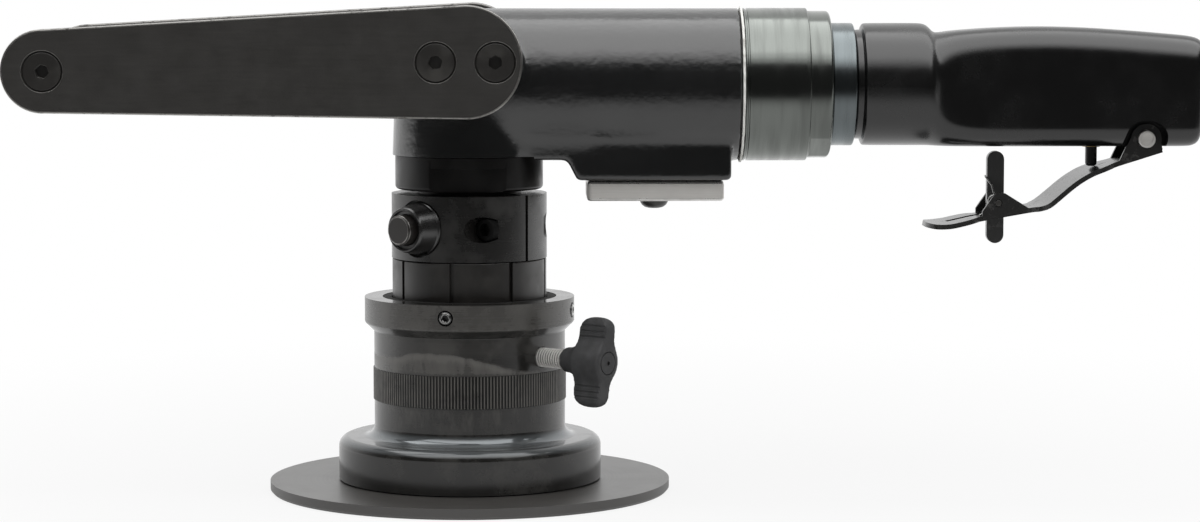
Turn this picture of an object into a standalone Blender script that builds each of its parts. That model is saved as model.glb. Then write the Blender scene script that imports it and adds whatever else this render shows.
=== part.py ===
"""Pneumatic edge beveler: a vane motor in a cast gear housing drives a vertical
spindle through a bevel gear pair.  The cutter sits inside a base disc whose height is
set by a screwed depth adjuster with click stops.  A cross handle between two side
plates and a rear grip with a lever throttle carry the tool.

Everything is drawn in the tool's own frame: the spindle axis is X = 0, Y = 0, and
the underside of the base disc is Z = 0.  Metres, +Z up, the grip points along +X and
the side with the throttle valve's view faces -Y.  An azimuth is measured from -Y
towards +X, seen from above.
"""
import math

import bmesh
import bpy
from mathutils import Matrix, Vector

# Facets and general clearances
ROUND_STEPS = 28
MEDIUM_STEPS = 18
SMALL_STEPS = 10
ARC_STEP = math.radians(30.0)
FINE_ARC_STEP = math.radians(20.0)
PLAIN_EDGE = 0.0015
SHARP_ANGLE = math.radians(32.0)
MERGE_DISTANCE = 0.000002
GAP = 0.0003
OVERRUN = 0.0020
MILLIMETRES = 1000

# Base disc
DISC_RADIUS = 0.0830
DISC_THICKNESS = 0.0044
DISC_CHAMFER = 0.0010
OPENING_RADIUS = 0.0270

# Depth adjuster: one turned piece from the flange to the ring
FLANGE_RADIUS = 0.0543
FLANGE_HEIGHT = 0.0179
FLANGE_ROUND = 0.0040
BODY_RADIUS = 0.0395
BODY_FILLET = 0.0070
RING_RADIUS = 0.0433
RING_HEIGHT = 0.0104
RING_CHAMFER = 0.0005
CONE_HEIGHT = 0.0036
ADJUSTER_HEIGHT = 0.0756
ADJUSTER_SHOULDER = 0.0193

# Wiper ring in the adjuster's mouth
WIPER_THICKNESS = 0.0015
WIPER_WIDTH = 0.0035
WIPER_TAB_WIDTH = 0.0012
WIPER_TAB_REACH = 0.0009

# Click plungers and grooves
GROOVE_COUNT = 8
GROOVE_WIDTH = 0.0018
GROOVE_DEPTH = 0.0015
GROOVE_AZIMUTH = math.radians(-12.0)
PLUNGER_COUNT = 4
PLUNGER_RADIUS = 0.0029
PLUNGER_PROUD = 0.0007
PLUNGER_NOSE_RADIUS = 0.0016
PLUNGER_NOSE_LENGTH = 0.0035
PLUNGER_SOCKET = 0.0025
PLUNGER_SOCKET_DEPTH = 0.0022
PLUNGER_EDGE = 0.0004

# Base screws
BASE_SCREW_COUNT = 3
BASE_SCREW_CIRCLE = 0.0420
BASE_SCREW_HEAD = 0.0050
BASE_SCREW_SHANK = 0.0025
BASE_SCREW_LENGTH = 0.0140
BASE_SCREW_SOCKET = 0.0030

# Grooved sleeve
SLEEVE_RADIUS = 0.0318
SLEEVE_BOTTOM = 0.0400
SLEEVE_TOP = 0.0962
SLEEVE_EDGE = 0.0004
SLEEVE_BORE = 0.0240
SLEEVE_LIP_RADIUS = 0.0160
SLEEVE_LIP = 0.0040
SPIGOT_RADIUS = 0.0267
SPIGOT_HEIGHT = 0.0057

# Clamp collar
COLLAR_RADIUS = 0.0320
COLLAR_HEIGHT = 0.0266
COLLAR_EDGE = 0.0006
COLLAR_BORE = 0.0215
SLOT_AZIMUTH = math.radians(48.0)
SLOT_WIDTH = 0.0015
CLAMP_LINE = 0.0253
CLAMP_POCKET_RADIUS = 0.0052
CLAMP_POCKET_START = 0.0139
CLAMP_SCREW_HEAD = 0.0047
CLAMP_SCREW_HEAD_HEIGHT = 0.0060
CLAMP_SCREW_SHANK = 0.0030
CLAMP_SCREW_SOCKET = 0.0050
CLAMP_SCREW_SOCKET_DEPTH = 0.0030

# Spindle lock
LOCK_AZIMUTH = math.radians(-40.0)
LOCK_SEAT_RADIUS = 0.0117
LOCK_SEAT_REACH = 0.0300
LOCK_BOSS_FOOT_RADIUS = 0.0112
LOCK_BOSS_FOOT = 0.0016
LOCK_BOSS_RADIUS = 0.0104
LOCK_BOSS_FRONT_RADIUS = 0.0095
LOCK_BOSS_FRONT = 0.0402
LOCK_BOSS_EDGE = 0.0010
LOCK_RECESS_RADIUS = 0.0080
LOCK_RECESS_DEPTH = 0.0014
BUTTON_RADIUS = 0.0061
BUTTON_FRONT = 0.0437
BUTTON_EDGE = 0.0008
BUTTON_SHOULDER = 0.0365
BUTTON_BORE_FLOOR = 0.0318
LOCK_PIN_RADIUS = 0.0030
LOCK_PIN_TIP = 0.0120
LOCK_HOLE_DEPTH = 0.0035

# Bearing housing under the cast neck
BEARING_HOUSING_RADIUS = 0.03045
BEARING_HOUSING_HEIGHT = 0.0138
BEARING_HOUSING_EDGE = 0.0016
BEARING_HOUSING_LIFT = 0.0017
WRENCH_FLAT_HALF = 0.0263
WRENCH_FLAT_HEIGHT = 0.0096
NECK_SPIGOT_RADIUS = 0.0260
NECK_SPIGOT_HEIGHT = 0.0085
CLAMP_SPIGOT_RADIUS = 0.0212
CLAMP_SPIGOT_LENGTH = 0.0180
CLAMP_SPIGOT_BORE = 0.0150

# Bearings
BEARING_RADIUS = 0.0210
BEARING_BORE = 0.0100
BEARING_WIDTH = 0.0120
TOP_BEARING_RADIUS = 0.0110
TOP_BEARING_BORE = 0.0060
TOP_BEARING_WIDTH = 0.0100

# Gear housing casting
NECK_RISE = 0.0287
HOUSING_RADIUS = 0.0313
NECK_RADIUS = 0.0315
NECK_DRAFT = 0.0011
HOUSING_END_REACH = 0.0041
HOUSING_END_EDGE = 0.0012
GEAR_ROOM_RADIUS = 0.0240
GEAR_ROOM_RISE = 0.0058
MOTOR_BORE = 0.0263
MOTOR_BORE_START = 0.0520
SHAFT_TUNNEL_RADIUS = 0.0120
PLATE_BOSS_RADIUS = 0.0105
LUMP_DROP = 0.0385
LUMP_LENGTH = 0.0629
LUMP_SLOPE_RUN = 0.0066
LUMP_SLOPE_RISE = 0.0089
LUMP_STEP = 0.0038
LUMP_HALF_WIDTH = 0.0220
LUMP_ROUND = 0.0014
LUMP_ROOF_DROP = 0.0116
EXHAUST_WALL = 0.0060
EXHAUST_HEIGHT = 0.0085
EXHAUST_POST = 0.0075
EXHAUST_PORT_HALF = 0.0060

# Muffler cover and its screw
COVER_STEP = 0.0029
COVER_LENGTH = 0.0559
COVER_HALF_WIDTH = 0.0190
COVER_HEIGHT = 0.0082
COVER_WALL = 0.0010
COVER_ROUND = 0.0016
COVER_SLOT_COUNT = 3
COVER_SLOT_WIDTH = 0.0016
COVER_SLOT_LENGTH = 0.0110
COVER_SLOT_PITCH = 0.0042
COVER_SCREW_HEAD = 0.0060
COVER_SCREW_HEAD_HEIGHT = 0.0026
COVER_SCREW_SHANK = 0.0030
COVER_SCREW_LENGTH = 0.0160
COVER_SCREW_SOCKET = 0.0040

# Side plates, cross handle and their screws
PLATE_OUTER = 0.0695
PLATE_THICKNESS = 0.0100
PLATE_CHAMFER = 0.0008
PLATE_BIG_RADIUS = 0.0224
PLATE_BIG_RISE = 0.0108
PLATE_SMALL_RADIUS = 0.0164
PLATE_SMALL_RISE = 0.0074
PLATE_REACH = 0.1649
PLATE_SCREW_HALF_PITCH = 0.0117
PLATE_SCREW_HEAD = 0.0078
PLATE_SCREW_SHANK = 0.0040
PLATE_SCREW_LENGTH = 0.0220
PLATE_SCREW_SOCKET = 0.0050
PLATE_SCREW_SUNK = 0.0002
SOCKET_DEPTH_SHARE = 0.60
CROSS_HANDLE_RADIUS = 0.0150
CROSS_HANDLE_EDGE = 0.0010

# Vane motor
MOTOR_RADIUS = 0.0260
MOTOR_PLATE_THICKNESS = 0.0070
MOTOR_CYLINDER_LENGTH = 0.0400
MOTOR_CHAMBER_RADIUS = 0.0210
MOTOR_OFFSET = 0.0020
ROTOR_RADIUS = 0.0185
ROTOR_SHAFT_RADIUS = 0.0050
ROTOR_SLOT_COUNT = 4
ROTOR_SLOT_WIDTH = 0.0018
ROTOR_SLOT_DEPTH = 0.0090

# Motor ring, collar and gasket
GASKET_THICKNESS = 0.0009
RING_STEEL_RADIUS = 0.0314
RING_STEEL_LENGTH = 0.0262
RING_STEEL_EDGE = 0.0006
RING_STEP_RADIUS = 0.0302
RING_STEP_LENGTH = 0.0094
RING_STEP_EDGE = 0.0012
RING_FLAT_REACH = 0.0292
RING_FLAT_TILT = math.radians(-30.0)
HANDLE_COLLAR_RADIUS = 0.0252
HANDLE_COLLAR_LENGTH = 0.0096
HANDLE_COLLAR_EDGE = 0.0005
HANDLE_SPIGOT_RADIUS = 0.0160
HANDLE_SPIGOT_LENGTH = 0.0250

# Rear grip
GRIP_NECK_RADIUS = 0.0243
GRIP_NECK_LENGTH = 0.0034
GRIP_BARREL_RADIUS = 0.0252
GRIP_BARREL_LENGTH = 0.0297
GRIP_LENGTH = 0.1435
GRIP_HALF_WIDTH = 0.0190
GRIP_DROP = 0.0253
GRIP_TOP_ROUND = 0.0120
GRIP_BOTTOM_ROUND = 0.0090
GRIP_FRONT_RISE = 0.0213
GRIP_CROWN_RISE = 0.0241
GRIP_REAR_RISE = 0.0203
GRIP_REAR_ROUND = 0.0040
GRIP_REAR_LEAN = 0.0013
CORNER_SHARE = 0.985

# Air inlet and throttle valve
INLET_DROP = 0.0011
INLET_RADIUS = 0.0095
INLET_LENGTH = 0.0160
INLET_BORE = 0.0060
AIR_PASSAGE_RADIUS = 0.0045
FRONT_PASSAGE_DROP = 0.0108
FRONT_PASSAGE_RADIUS = 0.0035
VALVE_FROM_END = 0.0443
STEM_RADIUS = 0.0024
VALVE_BORE = 0.0041
VALVE_SHOULDER_DROP = 0.0066
VALVE_ROOM_RADIUS = 0.0063
VALVE_ROOM_RISE = 0.0054
VALVE_HEAD_RADIUS = 0.0056
VALVE_HEAD_HEIGHT = 0.0020
VALVE_BUSHING_RADIUS = 0.0038
VALVE_BUSHING_LENGTH = 0.0100
VALVE_BUSHING_PROUD = 0.0006
VALVE_SPRING_WIRE = 0.0004
VALVE_SPRING_RADIUS = 0.0042
VALVE_SPRING_TURNS = 4
CURL_POINTS = 8

# Throttle lever
LEVER_PIVOT_FROM_END = 0.0234
LEVER_PIVOT_DROP = 0.0223
LEVER_PIN_RADIUS = 0.0035
LEVER_PIN_HALF = 0.0126
LEVER_SHEET = 0.0020
LEVER_HALF_WIDTH = 0.0175
LEVER_LENGTH = 0.0972
LEVER_TAIL = 0.0068
LEVER_TAIL_DROP = 0.0054
LEVER_FALL = 0.0314
CHANNEL_HALF_WIDTH = 0.0113
EAR_RADIUS = 0.0064
EAR_FRONT = 0.0116
POCKET_RADIUS = 0.0078
POCKET_LEFT = 0.0105
TONGUE_HALF_WIDTH = 0.0090
TAB_NOTCH_HALF = 0.0045
TAB_NOTCH_DEPTH = 0.0013

# Lock-off lever, its pin and spring
TAB_PIVOT_REACH = 0.0607
TAB_PIVOT_DROP = 0.0263
TAB_WIDTH = 0.0070
TAB_RISE = 0.0210
TAB_TAIL = 0.0172
TAB_HALF_THICKNESS = 0.0020
TAB_PIN_RADIUS = 0.0013
TAB_PIN_HALF = 0.0117
TAB_SLOT_FRONT = 0.0202
TAB_SLOT_REAR = 0.0058
GUSSET_FRONT = 0.0066
GUSSET_REAR = 0.0138
GUSSET_PEAK = 0.0040
SPRING_WIRE = 0.0004
SPRING_RADIUS = 0.0035
SPRING_LEG_RISE = 0.0107
SPRING_LEG_REACH = 0.0075
SPRING_TURNS = 3
SPRING_START_Y = -0.0084
SPRING_PITCH = 0.0014

# Bevel gears
PINION_TEETH = 11
CROWN_TEETH = 27
GEAR_MODULE = 0.0016
FACE_WIDTH = 0.0070
PRESSURE_ANGLE = math.radians(20.0)
BACKLASH_SHARE = 0.10
ADDENDUM_SHARE = 0.80
DEDENDUM_SHARE = 1.25
CROWN_RIM = 0.0040
PINION_RIM = 0.0020

# Spindle and cutter
SPINDLE_RADIUS = 0.0097
SPINDLE_TOP_RADIUS = 0.0057
SPINDLE_NOSE_RADIUS = 0.0077
SPINDLE_NOSE_BOTTOM = 0.0100
CUTTER_TOP = 0.0240
CUTTER_BOTTOM = 0.0090
CUTTER_RADIUS = 0.0200
CUTTER_TIP_RADIUS = 0.0120
CUTTER_BAND = 0.0040
INSERT_COUNT = 3
INSERT_SIZE = 0.0100
INSERT_THICKNESS = 0.0030
GUIDE_RADIUS = 0.0095
GUIDE_BORE = 0.0043
GUIDE_WIDTH = 0.0066
GUIDE_BOTTOM = 0.0020
GUIDE_SCREW_HEAD = 0.0062
GUIDE_SCREW_HEAD_HEIGHT = 0.0012
GUIDE_SCREW_SHANK = 0.0040
GUIDE_SCREW_LENGTH = 0.0200
GUIDE_SCREW_SOCKET = 0.0040

# Wing knob
KNOB_AZIMUTH = math.radians(49.5)
KNOB_HEIGHT = 0.0575
KNOB_BACK = 0.0524
KNOB_FRONT = 0.0743
KNOB_HUB_RADIUS = 0.0090
KNOB_WING_START = 0.0565
KNOB_WING_WIDTH = 0.0140
KNOB_WING_SPAN = 0.0364
KNOB_WING_ROUND = 0.0022
STUD_RADIUS = 0.0040
STUD_DEPTH = 0.0120

# Places worked out from the sizes above
ADJUSTER_BOTTOM = DISC_THICKNESS + GAP
ADJUSTER_TOP = ADJUSTER_BOTTOM + ADJUSTER_HEIGHT
RING_MIDDLE = ADJUSTER_TOP - RING_HEIGHT / 2
SLEEVE_FIT = SLEEVE_RADIUS + GAP
COLLAR_BOTTOM = SLEEVE_TOP + GAP
COLLAR_TOP = COLLAR_BOTTOM + COLLAR_HEIGHT
COLLAR_MIDDLE = COLLAR_BOTTOM + COLLAR_HEIGHT / 2
HOUSING_RING_BOTTOM = COLLAR_TOP + BEARING_HOUSING_LIFT
HOUSING_RING_TOP = HOUSING_RING_BOTTOM + BEARING_HOUSING_HEIGHT
LOWER_BEARING_TOP = HOUSING_RING_TOP
NECK_BOTTOM = HOUSING_RING_TOP + GAP
AXIS_HEIGHT = NECK_BOTTOM + NECK_RISE
GEAR_ROOM_TOP = AXIS_HEIGHT + GEAR_ROOM_RISE
MOTOR_START = MOTOR_BORE_START + GAP
CYLINDER_START = MOTOR_START + MOTOR_PLATE_THICKNESS + GAP
CYLINDER_END = CYLINDER_START + MOTOR_CYLINDER_LENGTH
MOTOR_END = CYLINDER_END + GAP + MOTOR_PLATE_THICKNESS
HOUSING_END = MOTOR_END + HOUSING_END_REACH
LUMP_BOTTOM = AXIS_HEIGHT - LUMP_DROP
LUMP_ROOF = AXIS_HEIGHT - LUMP_ROOF_DROP
LUMP_RIGHT = HOUSING_END - LUMP_STEP
LUMP_LEFT = LUMP_RIGHT - LUMP_LENGTH
PLATE_BIG_HEIGHT = AXIS_HEIGHT + PLATE_BIG_RISE
PLATE_SMALL_HEIGHT = AXIS_HEIGHT + PLATE_SMALL_RISE
PLATE_INNER = PLATE_OUTER - PLATE_THICKNESS
BOSS_FACE = PLATE_INNER - GAP
GASKET_START = HOUSING_END + GAP
RING_STEEL_START = GASKET_START + GASKET_THICKNESS + GAP
RING_STEEL_END = RING_STEEL_START + RING_STEEL_LENGTH
RING_STEP_END = RING_STEEL_END + RING_STEP_LENGTH
HANDLE_COLLAR_START = RING_STEP_END + GAP
HANDLE_COLLAR_END = HANDLE_COLLAR_START + HANDLE_COLLAR_LENGTH
GRIP_START = HANDLE_COLLAR_END + GAP
GRIP_BARREL_END = GRIP_START + GRIP_BARREL_LENGTH
GRIP_END = GRIP_START + GRIP_LENGTH
GRIP_BOTTOM = AXIS_HEIGHT - GRIP_DROP
GRIP_TOP_FRONT = AXIS_HEIGHT + GRIP_FRONT_RISE
GRIP_TOP_CROWN = AXIS_HEIGHT + GRIP_CROWN_RISE
GRIP_TOP_REAR = AXIS_HEIGHT + GRIP_REAR_RISE
INLET_HEIGHT = AXIS_HEIGHT - INLET_DROP
FRONT_PASSAGE_HEIGHT = AXIS_HEIGHT - FRONT_PASSAGE_DROP
VALVE_X = GRIP_END - VALVE_FROM_END
VALVE_SHOULDER = AXIS_HEIGHT - VALVE_SHOULDER_DROP
VALVE_ROOM_TOP = AXIS_HEIGHT + VALVE_ROOM_RISE
LEVER_PIVOT_X = GRIP_END - LEVER_PIVOT_FROM_END
LEVER_PIVOT_HEIGHT = AXIS_HEIGHT - LEVER_PIVOT_DROP
TAB_PIVOT_X = LEVER_PIVOT_X - TAB_PIVOT_REACH
TAB_PIVOT_HEIGHT = LEVER_PIVOT_HEIGHT - TAB_PIVOT_DROP
LEVER_REAR = LEVER_PIVOT_X + LEVER_TAIL
LEVER_FRONT = LEVER_REAR - LEVER_LENGTH
LEVER_LOW = LEVER_PIVOT_HEIGHT - LEVER_TAIL_DROP - LEVER_FALL
COVER_LEFT = LUMP_RIGHT - COVER_STEP - COVER_LENGTH
COVER_RIGHT = LUMP_RIGHT - COVER_STEP
COVER_TOP = LUMP_BOTTOM - GAP
COVER_MIDDLE = (COVER_LEFT + COVER_RIGHT) / 2
NOSE_BEARING_BOTTOM = SLEEVE_BOTTOM + SLEEVE_LIP + GAP
SPINDLE_X = (PLATE_REACH + PLATE_SMALL_RADIUS - GRIP_END) / 2

# Lever line: shares of its length, of its fall and of its half width
CHANNEL_SHARE = CHANNEL_HALF_WIDTH / LEVER_HALF_WIDTH
LEVER_LINE_SHARES = (
    (0.0000, 0.0159, 0.257),
    (0.0123, 0.0064, 0.543),
    (0.0391, 0.0000, 0.800),
    (0.0772, 0.0064, 1.000),
    (0.1183, 0.0255, 1.000),
    (0.1749, 0.0637, 1.000),
    (0.2109, 0.0860, 0.857),
    (0.2377, 0.0987, CHANNEL_SHARE),
    (0.4475, 0.2134, CHANNEL_SHARE),
    (0.4784, 0.2325, 0.829),
    (0.5175, 0.2834, 1.000),
    (0.5648, 0.4013, 1.000),
    (0.6060, 0.5096, 1.000),
    (0.6471, 0.6051, 1.000),
    (0.6965, 0.6943, 1.000),
    (0.7459, 0.7516, 0.943),
    (0.7819, 0.7866, 0.771),
    (0.8107, 0.8153, CHANNEL_SHARE),
    (1.0000, 1.0000, CHANNEL_SHARE),
)
LEVER_LINE = [
    (LEVER_FRONT + along * LEVER_LENGTH, LEVER_LOW + rise * LEVER_FALL, width * LEVER_HALF_WIDTH)
    for along, rise, width in LEVER_LINE_SHARES
]

for old in list(bpy.data.objects):
    bpy.data.objects.remove(old, do_unlink=True)


def new_material(name, colour, roughness, metallic):
    """A Principled material with one plain colour."""
    made = bpy.data.materials.new(name)
    made.use_nodes = True
    shader = made.node_tree.nodes["Principled BSDF"]
    shader.inputs["Base Color"].default_value = (*colour, 1.0)
    shader.inputs["Roughness"].default_value = roughness
    shader.inputs["Metallic"].default_value = metallic
    return made


BLACK_OXIDE = new_material("black_oxide_steel", (0.030, 0.029, 0.027), 0.38, 0.6)
BLACK_PAINT = new_material("black_paint", (0.020, 0.022, 0.021), 0.25, 0.0)
BLACK_GRIP = new_material("black_grip", (0.018, 0.018, 0.018), 0.35, 0.0)
BRIGHT_STEEL = new_material("bright_steel", (0.60, 0.60, 0.58), 0.22, 1.0)
STAINLESS = new_material("stainless_sheet", (0.62, 0.61, 0.59), 0.35, 1.0)
GASKET_WHITE = new_material("gasket_white", (0.80, 0.80, 0.78), 0.80, 0.0)
GREY_PLASTIC = new_material("grey_plastic", (0.045, 0.045, 0.045), 0.55, 0.0)
BRASS = new_material("brass", (0.55, 0.40, 0.18), 0.35, 1.0)
RUBBER = new_material("black_rubber", (0.015, 0.015, 0.015), 0.70, 0.0)
CARBIDE = new_material("carbide_gold", (0.60, 0.45, 0.15), 0.30, 1.0)
ANODISED = new_material("black_anodised", (0.030, 0.029, 0.028), 0.50, 0.3)

TOOL = bpy.data.objects.new("tool_frame", None)
TOOL.location = (SPINDLE_X, 0, 0)
bpy.context.scene.collection.objects.link(TOOL)


def upright(x=0, y=0, z=0):
    """Local Z points up."""
    return Matrix.Translation((x, y, z))


def along_x(x=0, y=0, z=AXIS_HEIGHT):
    """Local Z points along +X, towards the grip."""
    return Matrix.Translation((x, y, z)) @ Matrix.Rotation(math.pi / 2, 4, "Y")


def across_y(y=0, x=0, z=0):
    """Local X and Y become X and Z, and local Z points to the front, along -Y."""
    return Matrix.Translation((x, y, z)) @ Matrix.Rotation(math.pi / 2, 4, "X")


def across_y_back(y=0, x=0, z=0):
    """Local Z points to the back, along +Y."""
    return Matrix.Translation((x, y, z)) @ Matrix.Rotation(-math.pi / 2, 4, "X")


def radial(azimuth, height, reach=0):
    """Local Z points outwards from the spindle at an azimuth, and local Y points up."""
    outward = Vector((math.sin(azimuth), -math.cos(azimuth), 0))
    sideways = Vector((math.cos(azimuth), math.sin(azimuth), 0))
    turn = Matrix((sideways, (0, 0, 1), outward)).transposed().to_4x4()
    return Matrix.Translation(outward * reach + Vector((0, 0, height))) @ turn


def arc_points(centre, radius, start, stop, step=ARC_STEP):
    """Points along an arc, both ends included."""
    count = max(1, math.ceil(abs(stop - start) / step - 1e-6))
    angles = (start + (stop - start) * i / count for i in range(count + 1))
    return [(centre[0] + radius * math.cos(a), centre[1] + radius * math.sin(a)) for a in angles]


def rounded(corners, step=ARC_STEP):
    """The outline through corners (x, y, fillet radius): an arc each, or a chamfer if small."""
    points = []
    for i, (x, y, radius) in enumerate(corners):
        here = Vector((x, y))
        if radius == 0:
            points.append((x, y))
            continue
        before = (Vector(corners[i - 1][:2]) - here).normalized()
        after = (Vector(corners[(i + 1) % len(corners)][:2]) - here).normalized()
        half = before.angle(after) / 2
        centre = here + (before + after).normalized() * (radius / math.sin(half))
        start = here + before * (radius / math.tan(half)) - centre
        stop = here + after * (radius / math.tan(half)) - centre
        first = math.atan2(start.y, start.x)
        sweep = (math.atan2(stop.y, stop.x) - first + math.pi) % (2 * math.pi) - math.pi
        points += arc_points(centre, radius, first, first + sweep, step if radius > PLAIN_EDGE else math.pi)
    return points


def circle(radius, steps=SMALL_STEPS, x=0, y=0):
    """A round outline."""
    angles = (2 * math.pi * i / steps for i in range(steps))
    return [(x + radius * math.cos(a), y + radius * math.sin(a)) for a in angles]


def hexagon(across_flats):
    """A hexagon outline of a given width across its flats."""
    return circle(across_flats / math.sqrt(3), 6)


def rectangle(left, right, bottom, top):
    """A rectangle outline."""
    return [(left, bottom), (right, bottom), (right, top), (left, top)]


def belt(centre_a, radius_a, centre_b, radius_b, step=FINE_ARC_STEP):
    """The outline of a belt round two circles, the first one on the right."""
    run = Vector(centre_a) - Vector(centre_b)
    heading = math.atan2(run.y, run.x)
    lean = math.acos((radius_a - radius_b) / run.length)
    right = arc_points(centre_a, radius_a, heading - lean, heading + lean, step)
    left = arc_points(centre_b, radius_b, heading + lean, heading + 2 * math.pi - lean, step)
    return right + left


def turned(profile, place, steps=ROUND_STEPS):
    """A closed outline of (radius, height) points spun round local Z."""
    bm = bmesh.new()
    verts = [bm.verts.new((r, 0, z)) for r, z in profile]
    edges = []
    for i, vert in enumerate(verts):
        other = verts[(i + 1) % len(verts)]
        if vert.co.x > 0 or other.co.x > 0:
            edges.append(bm.edges.new((vert, other)))
    bmesh.ops.spin(
        bm, geom=verts + edges, cent=(0, 0, 0), axis=(0, 0, 1), angle=2 * math.pi, steps=steps, use_merge=True
    )
    bmesh.ops.remove_doubles(bm, verts=bm.verts, dist=MERGE_DISTANCE)
    for vert in [v for v in bm.verts if math.hypot(v.co.x, v.co.y) < MERGE_DISTANCE]:
        if all(abs(edge.other_vert(vert).co.z - vert.co.z) < MERGE_DISTANCE for edge in vert.link_edges):
            bmesh.ops.dissolve_verts(bm, verts=[vert])
    return finished(bm, place)


def extruded(outline, depth, place):
    """A flat outline pulled along local Z."""
    bm = bmesh.new()
    face = bm.faces.new([bm.verts.new((x, y, 0)) for x, y in outline])
    moved = bmesh.ops.extrude_face_region(bm, geom=[face])["geom"]
    bmesh.ops.translate(bm, verts=[v for v in moved if isinstance(v, bmesh.types.BMVert)], vec=(0, 0, depth))
    return finished(bm, place)


def lofted(loops, closed=False):
    """A skin over loops of as many points each, capped at its ends, or closed to a ring."""
    bm = bmesh.new()
    rings = [[bm.verts.new(point) for point in loop] for loop in loops]
    pairs = list(zip(rings, rings[1:]))
    if closed:
        pairs.append((rings[-1], rings[0]))
    else:
        bm.faces.new(rings[0])
        bm.faces.new(rings[-1])
    for first, second in pairs:
        for i in range(len(first)):
            j = (i + 1) % len(first)
            bm.faces.new((first[i], first[j], second[j], second[i]))
    return finished(bm, Matrix())


def finished(bm, place):
    """Faces turned outwards and the shape moved to its place."""
    bmesh.ops.transform(bm, matrix=place, verts=bm.verts)
    bmesh.ops.recalc_face_normals(bm, faces=bm.faces)
    return bm


def tube_disc(outer, inner, bottom, top, edge=0):
    """The outline of a plain ring with small chamfers on its outer corners."""
    return [
        (inner, bottom),
        (outer - edge, bottom),
        (outer, bottom + edge),
        (outer, top - edge),
        (outer - edge, top),
        (inner, top),
    ] if edge else [(inner, bottom), (outer, bottom), (outer, top), (inner, top)]


def piece(name, bm, finish, pivot=(0, 0, 0)):
    """A named part with its origin at its pivot."""
    bmesh.ops.translate(bm, verts=bm.verts, vec=-Vector(pivot))
    mesh = bpy.data.meshes.new(name)
    bm.to_mesh(mesh)
    bm.free()
    mesh.shade_smooth()
    mesh.set_sharp_from_angle(angle=SHARP_ANGLE)
    mesh.materials.append(finish)
    made = bpy.data.objects.new(name, mesh)
    made.parent = TOOL
    made.location = pivot
    bpy.context.scene.collection.objects.link(made)
    return made


def combine(target, bm, operation):
    """A Boolean with a hidden helper shape, given in the tool's frame."""
    name = f"{target.name}_{operation.lower()}_{len(target.modifiers)}"
    helper = piece(name, bm, target.data.materials[0])
    helper.hide_render = True
    helper.display_type = "WIRE"
    step = target.modifiers.new(name, "BOOLEAN")
    step.operation = operation
    step.object = helper
    return target


def cut(target, *shapes):
    """Each shape taken away from the target."""
    for shape in shapes:
        combine(target, shape, "DIFFERENCE")
    return target


def join(target, *shapes):
    """Each shape added to the target."""
    for shape in shapes:
        combine(target, shape, "UNION")
    return target


def rod(radius, start, stop, place, steps=SMALL_STEPS):
    """A plain round bar between two distances along local Z."""
    return turned([(0, start), (radius, start), (radius, stop), (0, stop)], place, steps)


def stepped(place, start, runs, steps=SMALL_STEPS):
    """A round bar in runs of (radius, end) one after another along local Z."""
    profile = [(0, start)]
    for radius, stop in runs:
        profile += [(radius, profile[-1][1]), (radius, stop)]
    return turned(profile + [(0, runs[-1][1])], place, steps)


def block(left, right, front, back, bottom, top):
    """A box in the tool's frame."""
    return extruded(rectangle(left, right, front, back), top - bottom, upright(0, 0, bottom))


def bevel_edges(target, width, segments=1):
    """A Bevel on the sharp edges only."""
    step = target.modifiers.new("edge", "BEVEL")
    step.width = width
    step.segments = segments
    step.limit_method = "ANGLE"
    step.angle_limit = SHARP_ANGLE


def countersunk_screw(name, head, shank, length, socket, sunk, place):
    """A flat-head socket screw: local Z points out of the work, which has its face at zero."""
    face = -sunk
    throat = face - (head - shank)
    profile = [(0, face), (head, face), (shank, throat), (shank, -length), (0, -length)]
    screw = piece(name, turned(profile, place, SMALL_STEPS), BLACK_OXIDE)
    depth = (head - shank) * SOCKET_DEPTH_SHARE
    return cut(screw, extruded(hexagon(socket), depth + OVERRUN, place @ upright(0, 0, face - depth)))


def countersunk_hole(target, head, shank, length, sunk, place):
    """The hole for such a screw, cut wider than the screw all round."""
    face = -sunk
    throat = face - (head - shank)
    wide = head + GAP
    narrow = shank + GAP
    profile = [
        (0, OVERRUN),
        (wide, OVERRUN),
        (wide, face),
        (narrow, throat),
        (narrow, -length - GAP),
        (0, -length - GAP),
    ]
    cut(target, turned(profile, place, SMALL_STEPS))


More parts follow.
